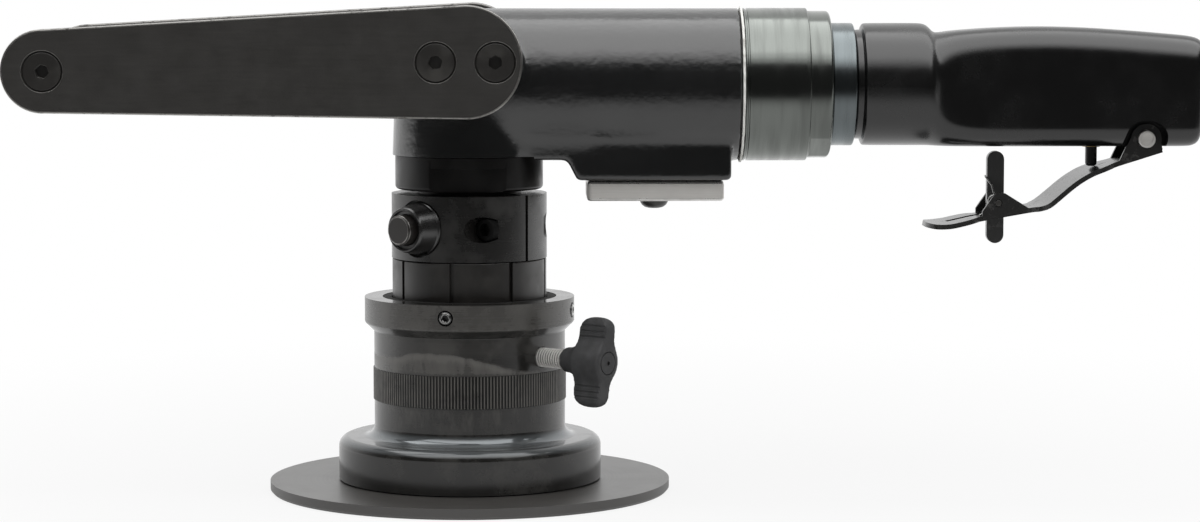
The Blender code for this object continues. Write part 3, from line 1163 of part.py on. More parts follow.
def rear_grip():
    """The moulded rear grip: barrel, scooped shoulder and hand grip, with its air ways."""
    neck = GRIP_NECK_RADIUS
    barrel = GRIP_BARREL_RADIUS
    neck_end = GRIP_START + GRIP_NECK_LENGTH
    axis = AXIS_HEIGHT

    def ring(x, radius):
        corner = radius * CORNER_SHARE
        return grip_loop(x, axis + radius, axis - radius, radius, corner, corner)

    def blend(x, top, width_share):
        half = GRIP_HALF_WIDTH + (barrel - GRIP_HALF_WIDTH) * width_share
        top_corner = GRIP_TOP_ROUND + (barrel * CORNER_SHARE - GRIP_TOP_ROUND) * width_share
        bottom_corner = GRIP_BOTTOM_ROUND + (barrel * CORNER_SHARE - GRIP_BOTTOM_ROUND) * width_share
        low = GRIP_BOTTOM + (axis - barrel - GRIP_BOTTOM) * width_share
        return grip_loop(x, top, low, half, top_corner, min(bottom_corner, half * CORNER_SHARE))

    front = GRIP_TOP_FRONT
    crown = GRIP_TOP_CROWN
    rear = GRIP_TOP_REAR
    barrel_top = axis + barrel
    length = GRIP_END - GRIP_BARREL_END
    scoop_places_shares = (0.018, 0.034, 0.058, 0.100, 0.165)
    scoop_width_shares = (0.93, 0.72, 0.42, 0.16, 0.03)
    scoop_top_shares = (0.72, 0.22, 0.00, -0.12, -0.35)
    loops = [
        ring(GRIP_START, neck),
        ring(neck_end, neck),
        ring(neck_end + GAP, barrel),
        ring(GRIP_BARREL_END, barrel),
    ]
    for place, width, rise in zip(scoop_places_shares, scoop_width_shares, scoop_top_shares):
        reach = barrel_top - front if rise > 0 else crown - front
        loops.append(blend(GRIP_BARREL_END + place * length, front + abs(rise) * reach, width))
    crown_places_shares = (0.28, 0.41, 0.55, 0.72, 0.91)
    for place in crown_places_shares:
        from_crown = (place - crown_places_shares[1]) / (crown_places_shares[-1] - crown_places_shares[1])
        drop = (crown - rear) * from_crown ** 2
        loops.append(blend(GRIP_BARREL_END + place * length, crown - drop, 0))
    for angle_share in (0.35, 0.70, 0.92, 1.0):
        angle = angle_share * math.pi / 2
        inset = GRIP_REAR_ROUND * (1 - math.cos(angle))
        x = GRIP_END - GRIP_REAR_ROUND * (1 - math.sin(angle))
        loops.append(grip_loop(
            x, rear - inset, GRIP_BOTTOM + inset, GRIP_HALF_WIDTH - inset,
            GRIP_TOP_ROUND - inset, GRIP_BOTTOM_ROUND - inset, GRIP_REAR_LEAN,
        ))
    grip = piece("grip_handle", lofted(loops), BLACK_GRIP)
    spigot_start = GRIP_START - HANDLE_COLLAR_LENGTH - HANDLE_SPIGOT_LENGTH
    join(grip, rod(HANDLE_SPIGOT_RADIUS, spigot_start, GRIP_START + OVERRUN, along_x(), MEDIUM_STEPS))

    inlet_start = GRIP_END - GRIP_REAR_LEAN - INLET_LENGTH - GAP
    cut(
        grip,
        stepped(along_x(0, 0, INLET_HEIGHT), VALVE_X, (
            (AIR_PASSAGE_RADIUS, inlet_start),
            (INLET_RADIUS + GAP, GRIP_END + OVERRUN),
        ), MEDIUM_STEPS),
        rod(FRONT_PASSAGE_RADIUS, spigot_start - OVERRUN, VALVE_X, along_x(0, 0, FRONT_PASSAGE_HEIGHT)),
        stepped(upright(VALVE_X), GRIP_BOTTOM - OVERRUN, (
            (VALVE_BORE, VALVE_SHOULDER),
            (VALVE_ROOM_RADIUS, VALVE_ROOM_TOP),
        )),
    )
    pivot = (LEVER_PIVOT_X, LEVER_PIVOT_HEIGHT)
    depth = GRIP_HALF_WIDTH + OVERRUN - TONGUE_HALF_WIDTH
    below = GRIP_BOTTOM - OVERRUN
    for start in (-TONGUE_HALF_WIDTH, TONGUE_HALF_WIDTH + depth):
        cut(grip, rod(POCKET_RADIUS, 0, depth, across_y(start, *pivot), MEDIUM_STEPS))
        flare = rounded([
            (LEVER_PIVOT_X - POCKET_LEFT, below, 0),
            (LEVER_PIVOT_X + POCKET_RADIUS - GAP, below, 0),
            (LEVER_PIVOT_X + POCKET_RADIUS - GAP, LEVER_PIVOT_HEIGHT, 0),
            (LEVER_PIVOT_X - POCKET_LEFT, LEVER_PIVOT_HEIGHT, GRIP_REAR_ROUND / 2),
        ])
        cut(grip, extruded(flare, depth, across_y(start)))
    reach = GRIP_HALF_WIDTH
    cut(grip, rod(LEVER_PIN_RADIUS + GAP, -reach, reach, across_y(0, *pivot)))
    notch = GRIP_BOTTOM + TAB_NOTCH_DEPTH
    half = TAB_NOTCH_HALF
    middle = TAB_PIVOT_X
    cut(grip, block(middle - half, middle + half, -half, half, below, notch))


def valve_and_inlet():
    """The inlet bushing, the valve bushing, the throttle stem and its spring."""
    end = GRIP_END - GRIP_REAR_LEAN
    bushing = tube_disc(INLET_RADIUS, INLET_BORE, end - INLET_LENGTH, end, GAP)
    piece("inlet_bushing", turned(bushing, along_x(0, 0, INLET_HEIGHT), MEDIUM_STEPS), BRIGHT_STEEL)
    low = GRIP_BOTTOM - VALVE_BUSHING_PROUD
    guide = tube_disc(VALVE_BUSHING_RADIUS, STEM_RADIUS + GAP, low, low + VALVE_BUSHING_LENGTH)
    piece("valve_bushing", turned(guide, upright(VALVE_X), SMALL_STEPS), BRASS)
    tip = lever_top(VALVE_X) + 2 * GAP
    seat = VALVE_SHOULDER + GAP
    profile = rounded([
        (0, tip, 0),
        (STEM_RADIUS, tip, STEM_RADIUS * SOCKET_DEPTH_SHARE),
        (STEM_RADIUS, seat, 0),
        (VALVE_HEAD_RADIUS, seat, 0),
        (VALVE_HEAD_RADIUS, seat + VALVE_HEAD_HEIGHT, GAP),
        (0, seat + VALVE_HEAD_HEIGHT, 0),
    ])
    piece("valve_stem", turned(profile, upright(VALVE_X), SMALL_STEPS), BLACK_OXIDE, (VALVE_X, 0, tip))
    start = seat + VALVE_HEAD_HEIGHT + GAP + VALVE_SPRING_WIRE
    stop = VALVE_ROOM_TOP - GAP - VALVE_SPRING_WIRE
    points = []
    count = VALVE_SPRING_TURNS * CURL_POINTS
    for i in range(count + 1):
        angle = 2 * math.pi * i / CURL_POINTS
        x = VALVE_X + VALVE_SPRING_RADIUS * math.cos(angle)
        y = VALVE_SPRING_RADIUS * math.sin(angle)
        points.append((x, y, start + (stop - start) * i / count))
    wire("valve_spring", points, VALVE_SPRING_WIRE)


def wire(name, points, radius):
    """A bent wire along points, given in the tool's frame."""
    curve = bpy.data.curves.new(name, "CURVE")
    curve.dimensions = "3D"
    curve.bevel_depth = radius
    curve.bevel_resolution = 1
    curve.use_fill_caps = True
    line = curve.splines.new("POLY")
    line.points.add(len(points) - 1)
    for point, place in zip(line.points, points):
        point.co = (*place, 1)
    curve.materials.append(BRIGHT_STEEL)
    made = bpy.data.objects.new(name, curve)
    made.parent = TOOL
    bpy.context.scene.collection.objects.link(made)
    print(f"{name}: least gap to itself {own_gap(points, radius) * MILLIMETRES:.2f} mm")


def own_gap(points, radius):
    """The least gap between two parts of a wire that are over half a curl apart along it."""
    places = [Vector(point) for point in points]
    far = CURL_POINTS // 2
    pairs = ((a, b) for i, a in enumerate(places) for b in places[i + far + 1:])
    return min((a - b).length for a, b in pairs) - 2 * radius


def lever_height(x):
    """The height of the sheet's underside at a place along X."""
    runs = list(zip(LEVER_LINE, LEVER_LINE[1:]))
    passed = [run for run in runs if run[0][0] <= x]
    (x0, z0, _), (x1, z1, _) = passed[-1] if passed else runs[0]
    return z0 + (z1 - z0) * (x - x0) / (x1 - x0), math.atan2(z1 - z0, x1 - x0)


def lever_top(x):
    """The height of the sheet's upper face at a place along X."""
    low, slope = lever_height(x)
    return low + LEVER_SHEET / math.cos(slope)


def throttle_lever():
    """The pressed lever: spoon, cranked strap, channel and ears, from one sheet."""
    pivot = Vector((LEVER_PIVOT_X, 0, LEVER_PIVOT_HEIGHT))
    loops = []
    for i, (x, z, half) in enumerate(LEVER_LINE):
        before = LEVER_LINE[max(i - 1, 0)]
        after = LEVER_LINE[min(i + 1, len(LEVER_LINE) - 1)]
        slope = math.atan2(after[1] - before[1], after[0] - before[0])
        up = Vector((-math.sin(slope), 0, math.cos(slope))) * LEVER_SHEET
        low = Vector((x, 0, z))
        side = Vector((0, half, 0))
        loops.append([low - side, low + side, low + side + up, low - side + up])
    lever = piece("throttle_lever", lofted(loops), BLACK_OXIDE, pivot)
    outer = CHANNEL_HALF_WIDTH
    inner = outer - LEVER_SHEET
    ear_left = LEVER_PIVOT_X - EAR_FRONT
    ear_right = LEVER_REAR
    skin = LEVER_SHEET / 2
    pin_ear = [
        (ear_left, lever_height(ear_left)[0] + skin),
        (ear_right, lever_height(ear_right)[0] + skin),
    ]
    pin_ear += arc_points(pivot.xz, EAR_RADIUS, math.radians(-15.0), math.radians(170.0))
    gusset_left = TAB_PIVOT_X - GUSSET_FRONT
    gusset_right = TAB_PIVOT_X + GUSSET_REAR
    peak = TAB_PIVOT_HEIGHT + GUSSET_PEAK
    gusset = rounded([
        (gusset_left, lever_height(gusset_left)[0] + skin, 0),
        (gusset_right, lever_height(gusset_right)[0] + skin, 0),
        (TAB_PIVOT_X + TAB_PIN_RADIUS * 2, peak, GUSSET_PEAK / 2),
        (TAB_PIVOT_X - TAB_PIN_RADIUS, peak, GUSSET_PEAK / 2),
        (gusset_left, lever_top(gusset_left) + LEVER_SHEET, SPRING_RADIUS / 4),
    ])
    for start in (-inner, outer):
        join(lever, extruded(pin_ear, LEVER_SHEET, across_y(start)))
        join(lever, extruded(gusset, LEVER_SHEET, across_y(start)))
    reach = LEVER_HALF_WIDTH
    cut(lever, rod(LEVER_PIN_RADIUS + GAP, -reach, reach, across_y(0, pivot.x, pivot.z)))
    cut(lever, rod(TAB_PIN_RADIUS + GAP, -reach, reach, across_y(0, TAB_PIVOT_X, TAB_PIVOT_HEIGHT)))
    half = TAB_HALF_THICKNESS + 2 * GAP
    slot_left = TAB_PIVOT_X - TAB_SLOT_FRONT
    slot_right = TAB_PIVOT_X + TAB_SLOT_REAR
    low = lever_height(slot_left)[0] - OVERRUN
    cut(lever, block(slot_left, slot_right, -half, half, low, TAB_PIVOT_HEIGHT))
    profile = tube_disc(LEVER_PIN_RADIUS, 0, -LEVER_PIN_HALF, LEVER_PIN_HALF, GAP)
    piece("lever_pin", turned(profile, across_y(0, pivot.x, pivot.z), SMALL_STEPS), BRIGHT_STEEL)


def lock_off():
    """The lock-off lever in the throttle lever's slot, its pin and its torsion spring."""
    pivot = (TAB_PIVOT_X, 0, TAB_PIVOT_HEIGHT)
    half = TAB_WIDTH / 2
    top = TAB_PIVOT_HEIGHT + TAB_RISE - half
    bottom = TAB_PIVOT_HEIGHT - TAB_TAIL + half
    outline = belt((top, 0), half, (bottom, 0), half, ARC_STEP)
    upright_outline = [(TAB_PIVOT_X + y, x) for x, y in outline]
    tab = extruded(upright_outline, 2 * TAB_HALF_THICKNESS, across_y(TAB_HALF_THICKNESS))
    tab = piece("lock_off_lever", tab, BLACK_OXIDE, pivot)
    cut(tab, rod(TAB_PIN_RADIUS + GAP, -half, half, across_y(0, TAB_PIVOT_X, TAB_PIVOT_HEIGHT)))
    pin = tube_disc(TAB_PIN_RADIUS, 0, -TAB_PIN_HALF, TAB_PIN_HALF, GAP / 2)
    piece("lock_off_pin", turned(pin, across_y(0, TAB_PIVOT_X, TAB_PIVOT_HEIGHT), SMALL_STEPS), BLACK_OXIDE)

    first = math.radians(200.0)
    last = first + 2 * math.pi * SPRING_TURNS + math.radians(-95.0)
    points = []
    count = SPRING_TURNS * CURL_POINTS
    for i in range(count + 1):
        angle = first + (last - first) * i / count
        points.append((
            TAB_PIVOT_X + SPRING_RADIUS * math.cos(angle),
            SPRING_START_Y + SPRING_PITCH * SPRING_TURNS * i / count,
            TAB_PIVOT_HEIGHT + SPRING_RADIUS * math.sin(angle),
        ))
    edge = TAB_PIVOT_X - half - SPRING_WIRE - GAP
    leg_y = -TAB_HALF_THICKNESS - SPRING_WIRE - GAP
    long_leg = [
        (TAB_PIVOT_X - half / 2, leg_y - SPRING_PITCH / 2, TAB_PIVOT_HEIGHT + 2 * SPRING_RADIUS),
        (edge, leg_y, TAB_PIVOT_HEIGHT + SPRING_LEG_RISE - SPRING_WIRE),
        (edge, 0, TAB_PIVOT_HEIGHT + SPRING_LEG_RISE),
    ]
    foot = TAB_PIVOT_X - SPRING_LEG_REACH
    short_leg = [(foot, SPRING_START_Y, lever_top(foot) + 3 * SPRING_WIRE)]
    wire("lock_off_spring", short_leg + points + long_leg, SPRING_WIRE)


def cone_angles():
    """Pitch cone angles of pinion and crown gear."""
    pinion = math.atan2(PINION_TEETH, CROWN_TEETH)
    return pinion, math.pi / 2 - pinion


def cone_distance():
    """Slant length of the shared pitch cones."""
    return GEAR_MODULE * math.hypot(PINION_TEETH, CROWN_TEETH) / 2


def pinion_back():
    """The plane behind the pinion's heel, measured from the spindle axis."""
    return GEAR_MODULE * CROWN_TEETH / 2 + GEAR_MODULE * DEDENDUM_SHARE + PINION_RIM


def bevel_gear(teeth, cone, rim, bore, phase):
    """Loops of a straight bevel gear: apex at the origin, axis along local Z, teeth towards it."""
    pitch_radius = GEAR_MODULE * teeth / 2
    virtual = pitch_radius / math.cos(cone)
    base = virtual * math.cos(PRESSURE_ANGLE)
    tip = virtual + GEAR_MODULE * ADDENDUM_SHARE
    root = virtual - GEAR_MODULE * DEDENDUM_SHARE
    apex_distance = cone_distance()
    toe_share = 1 - FACE_WIDTH / apex_distance

    def involute(radius):
        angle = math.acos(min(1.0, base / radius))
        return math.tan(angle) - angle

    half_pitch = math.pi / teeth
    half_tooth = half_pitch / 2 * (1 - BACKLASH_SHARE)
    flank = [max(root, base), virtual, tip]
    widths = []
    for radius in flank:
        widths.append((radius, half_tooth + (involute(virtual) - involute(radius)) * virtual / pitch_radius))
    if root < base:
        widths.insert(0, (root, widths[0][1]))
    heel = []
    back_apex = pitch_radius * math.tan(cone) + pitch_radius / math.tan(cone)
    for tooth in range(teeth):
        middle = phase + 2 * math.pi * tooth / teeth
        side = [(r, middle - w) for r, w in widths] + [(r, middle + w) for r, w in reversed(widths)]
        for radius, angle in side:
            away = radius * math.cos(cone)
            height = back_apex - radius * math.sin(cone)
            heel.append(Vector((away * math.cos(angle), away * math.sin(angle), height)))
    toe = [point * toe_share for point in heel]
    back_height = max(point.z for point in heel) + rim
    toe_height = min(point.z for point in toe)

    def ring(radius, height):
        return [Vector((radius * p.x, radius * p.y, 0)) / math.hypot(p.x, p.y) + Vector((0, 0, height)) for p in heel]

    return [
        ring(bore, toe_height),
        toe,
        heel,
        ring(bore, back_height),
    ]


def gears():
    """The bevel pinion on the rotor shaft and the crown gear on the spindle."""
    pinion_cone, crown_cone = cone_angles()
    apex = Vector((0, 0, AXIS_HEIGHT))
    shaft = ROTOR_SHAFT_RADIUS - GAP * 3
    pinion = lofted(bevel_gear(PINION_TEETH, pinion_cone, PINION_RIM / 2, shaft, 0), closed=True)
    bmesh.ops.transform(pinion, matrix=along_x(), verts=pinion.verts)
    piece("bevel_pinion", pinion, BRIGHT_STEEL, apex)
    half_gap = math.pi / CROWN_TEETH
    crown = lofted(bevel_gear(CROWN_TEETH, crown_cone, CROWN_RIM, SPINDLE_RADIUS + GAP, half_gap), closed=True)
    flip = upright(0, 0, AXIS_HEIGHT) @ Matrix.Rotation(math.pi, 4, "X")
    bmesh.ops.transform(crown, matrix=flip, verts=crown.verts)
    piece("crown_gear", crown, BRIGHT_STEEL)


def spindle_and_cutter():
    """The spindle, the cutter head with its inserts, the guide bearing and its screw."""
    shoulder = CUTTER_TOP + GAP
    crown_face = AXIS_HEIGHT - GEAR_MODULE * PINION_TEETH / 2
    top_end = GEAR_ROOM_TOP + TOP_BEARING_WIDTH
    outline = [
        (GUIDE_SCREW_SHANK + GAP, SPINDLE_NOSE_BOTTOM),
        (SPINDLE_NOSE_RADIUS, SPINDLE_NOSE_BOTTOM),
        (SPINDLE_NOSE_RADIUS, shoulder),
        (SPINDLE_RADIUS, shoulder),
        (SPINDLE_RADIUS, crown_face),
        (SPINDLE_TOP_RADIUS, crown_face + GAP),
        (SPINDLE_TOP_RADIUS, top_end),
        (0, top_end),
        (0, GUIDE_BOTTOM + GUIDE_SCREW_LENGTH),
        (GUIDE_SCREW_SHANK + GAP, GUIDE_BOTTOM + GUIDE_SCREW_LENGTH),
    ]
    spindle = piece("spindle", turned(outline, upright(), MEDIUM_STEPS), BRIGHT_STEEL)
    floor = SPINDLE_RADIUS - LOCK_HOLE_DEPTH
    for azimuth in (LOCK_AZIMUTH, LOCK_AZIMUTH + math.pi):
        cut(spindle, rod(LOCK_PIN_RADIUS + GAP, floor, SPINDLE_RADIUS + OVERRUN, radial(azimuth, COLLAR_MIDDLE)))

    head_outline = [
        (SPINDLE_NOSE_RADIUS + GAP, CUTTER_BOTTOM),
        (CUTTER_TIP_RADIUS, CUTTER_BOTTOM),
        (CUTTER_RADIUS, CUTTER_TOP - CUTTER_BAND),
        (CUTTER_RADIUS, CUTTER_TOP),
        (SPINDLE_NOSE_RADIUS + GAP, CUTTER_TOP),
    ]
    head = piece("cutter_head", turned(head_outline, upright(), MEDIUM_STEPS), BLACK_OXIDE)
    slant = math.atan2(CUTTER_TOP - CUTTER_BAND - CUTTER_BOTTOM, CUTTER_RADIUS - CUTTER_TIP_RADIUS)
    middle_radius = (CUTTER_RADIUS + CUTTER_TIP_RADIUS) / 2
    middle_height = (CUTTER_TOP - CUTTER_BAND + CUTTER_BOTTOM) / 2
    half = INSERT_SIZE / 2
    for i in range(INSERT_COUNT):
        azimuth = 2 * math.pi * i / INSERT_COUNT
        frame = radial(azimuth, middle_height, middle_radius) @ Matrix.Rotation(math.pi / 2 - slant, 4, "X")
        seat = frame @ upright(0, 0, -INSERT_THICKNESS)
        pocket_half = half + GAP
        pocket = extruded(
            rectangle(-pocket_half, pocket_half, -pocket_half, pocket_half), INSERT_THICKNESS * 2, seat @ upright(0, 0, -GAP)
        )
        cut(head, pocket)
        insert = extruded(rectangle(-half, half, -half, half), INSERT_THICKNESS, seat @ upright(0, 0, 0))
        insert = piece(f"cutter_insert_{i + 1}", insert, CARBIDE)
        bevel_edges(insert, GAP)

    guide = tube_disc(GUIDE_RADIUS, GUIDE_BORE, GUIDE_BOTTOM, GUIDE_BOTTOM + GUIDE_WIDTH, GAP)
    piece("guide_bearing", turned(guide, upright(), MEDIUM_STEPS), BRIGHT_STEEL)
    head_top = GUIDE_BOTTOM - GAP
    head_bottom = head_top - GUIDE_SCREW_HEAD_HEIGHT
    outline = [
        (0, head_bottom),
        (GUIDE_SCREW_HEAD, head_bottom),
        (GUIDE_SCREW_HEAD, head_top),
        (GUIDE_SCREW_SHANK, head_top),
        (GUIDE_SCREW_SHANK, GUIDE_BOTTOM + GUIDE_SCREW_LENGTH - GAP),
        (0, GUIDE_BOTTOM + GUIDE_SCREW_LENGTH - GAP),
    ]
    screw = piece("guide_screw", turned(outline, upright(), SMALL_STEPS), BLACK_OXIDE)
    cut(screw, extruded(hexagon(GUIDE_SCREW_SOCKET), GUIDE_SCREW_HEAD_HEIGHT + OVERRUN, upright(0, 0, head_bottom - OVERRUN)))


def wing_knob():
    """The two-winged clamping knob and its threaded stud."""
    place = radial(KNOB_AZIMUTH, KNOB_HEIGHT)
    pivot = place @ Vector((0, 0, KNOB_BACK))
    lobe = KNOB_WING_WIDTH / 2
    centre = KNOB_WING_SPAN / 2 - lobe
    outline = [(y, x) for x, y in belt((centre, 0), lobe, (-centre, 0), lobe, ARC_STEP)]
    front = KNOB_FRONT - KNOB_WING_ROUND / 4
    wings = extruded(outline, front - KNOB_WING_START, place @ upright(0, 0, KNOB_WING_START))
    knob = piece("wing_knob", wings, GREY_PLASTIC, pivot)
    bevel_edges(knob, KNOB_WING_ROUND)
    hub = rounded([
        (0, KNOB_BACK, 0),
        (KNOB_HUB_RADIUS, KNOB_BACK, KNOB_WING_ROUND),
        (KNOB_HUB_RADIUS, KNOB_FRONT, KNOB_WING_ROUND),
        (0, KNOB_FRONT, 0),
    ])
    join(knob, turned(hub, place, MEDIUM_STEPS))
    cut(knob, rod(STUD_RADIUS + GAP, KNOB_BACK - OVERRUN, KNOB_BACK + STUD_DEPTH + GAP, place))
    stud = tube_disc(STUD_RADIUS, 0, SLEEVE_FIT, KNOB_BACK + STUD_DEPTH, GAP)
    piece("knob_stud", turned(stud, place, SMALL_STEPS), BRIGHT_STEEL, pivot)


base_assembly()
grooved_sleeve()
clamp_collar()
spindle_lock()
bearing_housing()
bearings()
gear_housing()
muffler()
front_handle()
motor()
motor_ring_group()
rear_grip()
valve_and_inlet()
throttle_lever()
lock_off()
gears()
spindle_and_cutter()
wing_knob()
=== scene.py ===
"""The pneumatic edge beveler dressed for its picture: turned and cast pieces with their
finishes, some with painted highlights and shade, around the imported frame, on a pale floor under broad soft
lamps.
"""
import math
import random

import bpy
from mathutils import Matrix, Vector


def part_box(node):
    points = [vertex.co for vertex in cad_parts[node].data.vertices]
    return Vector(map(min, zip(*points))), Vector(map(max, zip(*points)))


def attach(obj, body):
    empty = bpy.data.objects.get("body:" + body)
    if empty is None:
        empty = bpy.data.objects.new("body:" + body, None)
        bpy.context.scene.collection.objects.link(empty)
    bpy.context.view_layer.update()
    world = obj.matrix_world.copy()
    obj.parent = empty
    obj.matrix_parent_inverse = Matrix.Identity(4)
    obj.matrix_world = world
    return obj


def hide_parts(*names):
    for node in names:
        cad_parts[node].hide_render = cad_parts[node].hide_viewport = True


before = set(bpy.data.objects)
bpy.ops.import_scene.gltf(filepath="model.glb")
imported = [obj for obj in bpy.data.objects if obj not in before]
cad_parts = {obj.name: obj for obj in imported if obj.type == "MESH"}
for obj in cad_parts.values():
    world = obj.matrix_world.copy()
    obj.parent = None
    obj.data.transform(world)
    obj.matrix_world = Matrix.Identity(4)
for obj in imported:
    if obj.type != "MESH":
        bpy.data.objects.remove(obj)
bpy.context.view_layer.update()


def middle(node):
    """The middle of a CAD node's box."""
    low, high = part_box(node)
    return (low + high) / 2


# Places that several pieces share: x counts from the spindle axis, pivots are (x, z)
SPINDLE = middle("spindle").x
AXIS = middle("motor_cylinder").z
KNOB_AZIMUTH = 49.5
KNOB_HEIGHT = 0.0575
INLET_HEIGHT = 0.1665
VALVE_X = 0.2575
LEVER_PIVOT = (0.2784, 0.1453)
TAB_PIVOT = (0.2177, 0.1190)

# How many sides a round shape has, from wide rings to small holes
WIDE = 160
ROUND = 128
MEDIUM = 96
FINE = 64
SMALL = 40

# Points this close count as one, while a shape is made and once it is finished
MERGE = 0.000002
TOUCH = 0.0000004

# How far a cutting tool runs past a face, and the air under a screw's head
OVER = 0.0020
GAP = 0.0003


def degrees(value):
    """Degrees as radians."""
    return math.radians(value)


def upright(x=0, y=0, z=0):
    """Local Z points up; x counts from the spindle axis."""
    return Matrix.Translation((SPINDLE + x, y, z))


def along(x=0, y=0, z=AXIS):
    """Local Z points along the motor axis, towards the grip."""
    return upright(x, y, z) @ Matrix.Rotation(math.pi / 2, 4, "Y")


def front(y=0, x=0, z=0):
    """Local X and Y become X and Z, and local Z points to the viewer."""
    return upright(x, y, z) @ Matrix.Rotation(math.pi / 2, 4, "X")


def back(y=0, x=0, z=0):
    """Local Z points away from the viewer."""
    return upright(x, y, z) @ Matrix.Rotation(-math.pi / 2, 4, "X")


def lifted(place, height):
    """The place moved along its own Z."""
    return place @ Matrix.Translation((0, 0, height))


def radial(azimuth, height, reach=0):
    """Local Z points outwards from the spindle, azimuth from the front towards the grip."""
    angle = degrees(azimuth)
    outward = Vector((math.sin(angle), -math.cos(angle), 0))
    sideways = Vector((math.cos(angle), math.sin(angle), 0))
    turn = Matrix((sideways, (0, 0, 1), outward)).transposed().to_4x4()
    return upright(*(outward * reach + Vector((0, 0, height)))) @ turn


def arc(centre, radius, start, stop, step=degrees(9)):
    """Points along an arc, both ends included."""
    count = max(1, math.ceil(abs(stop - start) / step - 1e-6))
    angles = (start + (stop - start) * i / count for i in range(count + 1))
    return [(centre[0] + radius * math.cos(a), centre[1] + radius * math.sin(a)) for a in angles]


def rounded(corners, step=degrees(15)):
    """The outline through corners (x, y, fillet radius), an arc at each."""
    points = []
    for i, (x, y, radius) in enumerate(corners):
        here = Vector((x, y))
        if radius == 0:
            points.append((x, y))
            continue
        before = (Vector(corners[i - 1][:2]) - here).normalized()
        after = (Vector(corners[(i + 1) % len(corners)][:2]) - here).normalized()
        half = before.angle(after) / 2
        centre = here + (before + after).normalized() * (radius / math.sin(half))
        first = here + before * (radius / math.tan(half)) - centre
        last = here + after * (radius / math.tan(half)) - centre
        start = math.atan2(first.y, first.x)
        sweep = (math.atan2(last.y, last.x) - start + math.pi) % (2 * math.pi) - math.pi
        points += arc(centre, radius, start, start + sweep, step)
    return points


def belt(centre_a, radius_a, centre_b, radius_b, step=degrees(5)):
    """The outline of a belt round two circles, the first one on the right."""
    run = Vector(centre_a) - Vector(centre_b)
    heading = math.atan2(run.y, run.x)
    lean = math.acos((radius_a - radius_b) / run.length)
    right = arc(centre_a, radius_a, heading - lean, heading + lean, step)
    left = arc(centre_b, radius_b, heading + lean, heading + 2 * math.pi - lean, step)
    return right + left


def rectangle(left, right, near, far, fillet=0):
    """A rectangle's outline, with fillets where a radius is given."""
    return rounded([(x, y, fillet) for x, y in ((left, near), (right, near), (right, far), (left, far))])


def hexagon(across_flats):
    """A hexagon outline of a given width across its flats."""
    reach = across_flats / math.sqrt(3)
    return [(reach * math.cos(degrees(60 * i)), reach * math.sin(degrees(60 * i))) for i in range(6)]


def smooth_path(points, steps):
    """More points between the given ones, on one smooth curve through them all."""
    path = []
    last = len(points) - 1
    for i in range(last):
        a, b, c, d = (Vector(points[min(max(j, 0), last)]) for j in range(i - 1, i + 3))
        square = 2 * a - 5 * b + 4 * c - d
        cube = 3 * b - a - 3 * c + d
        for k in range(steps):
            t = k / steps
            path.append(0.5 * (2 * b + (c - a) * t + square * t * t + cube * t ** 3))
    path.append(Vector(points[last]))
    return path


def choose(piece):
    """Only this piece is selected and active."""
    bpy.ops.object.select_all(action="DESELECT")
    piece.select_set(True)
    bpy.context.view_layer.objects.active = piece


def edit(piece, where=None):
    """Edit mode with every point selected, or only those that a test picks."""
    choose(piece)
    bpy.ops.object.mode_set(mode="EDIT")
    bpy.ops.mesh.select_mode(type="VERT")
    bpy.ops.mesh.select_all(action="DESELECT" if where else "SELECT")
    if where:
        leave()
        for vertex in piece.data.vertices:
            vertex.select = where(vertex.co)
        bpy.ops.object.mode_set(mode="EDIT")


def leave():
    """Back to object mode."""
    bpy.ops.object.mode_set(mode="OBJECT")


def outward():
    """Doubles merged, loose edges gone and faces turned outwards, in edit mode."""
    bpy.ops.mesh.select_all(action="SELECT")
    bpy.ops.mesh.remove_doubles(threshold=MERGE)
    bpy.ops.mesh.delete_loose(use_verts=True, use_edges=True, use_faces=False)
    bpy.ops.mesh.select_all(action="SELECT")
    bpy.ops.mesh.normals_make_consistent(inside=False)


def settle(piece, place):
    """The piece moved to its place, with its object left at the origin."""
    piece.matrix_world = place
    choose(piece)
    bpy.ops.object.transform_apply(location=True, rotation=True, scale=True)
    return piece


def outline(name, points, filled=False):
    """A circle pulled to an outline of two- or three-dimensional points."""
    bpy.ops.object.select_all(action="DESELECT")
    fill = "NGON" if filled else "NOTHING"
    bpy.ops.mesh.primitive_circle_add(vertices=len(points), radius=1, fill_type=fill)
    made = bpy.context.object
    made.name = name
    for vertex, point in zip(made.data.vertices, points):
        vertex.co = (*point, 0) if len(point) == 2 else point
    return made


def turned(name, profile, place, steps=ROUND):
    """A closed outline of (radius, height) points spun round local Z."""
    made = outline(name, [(radius, 0, height) for radius, height in profile])
    edit(made)
    bpy.ops.mesh.spin(steps=steps, angle=2 * math.pi, center=(0, 0, 0), axis=(0, 0, 1))
    outward()
    leave()
    return settle(made, place)


def lathed(name, corners, place, steps=ROUND):
    """A turned shape from corners (radius, height, fillet radius)."""
    return turned(name, rounded(corners), place, steps)


def pressed(name, points, depth, place):
    """A flat outline pulled along local Z."""
    made = outline(name, points, True)
    edit(made)
    bpy.ops.mesh.extrude_region_move(TRANSFORM_OT_translate={"value": (0, 0, depth)})
    outward()
    leave()
    return settle(made, place)


def skinned(name, loops):
    """Loops of world points bridged one to the next and closed at both ends."""
    rings = [outline(f"{name}_{number}", points) for number, points in enumerate(loops)]
    choose(rings[0])
    for ring in rings:
        ring.select_set(True)
    bpy.ops.object.join()
    made = bpy.context.object
    made.name = name
    edit(made)
    bpy.ops.mesh.bridge_edge_loops()
    bpy.ops.mesh.select_all(action="SELECT")
    bpy.ops.mesh.fill_holes(sides=0)
    outward()
    leave()
    return made


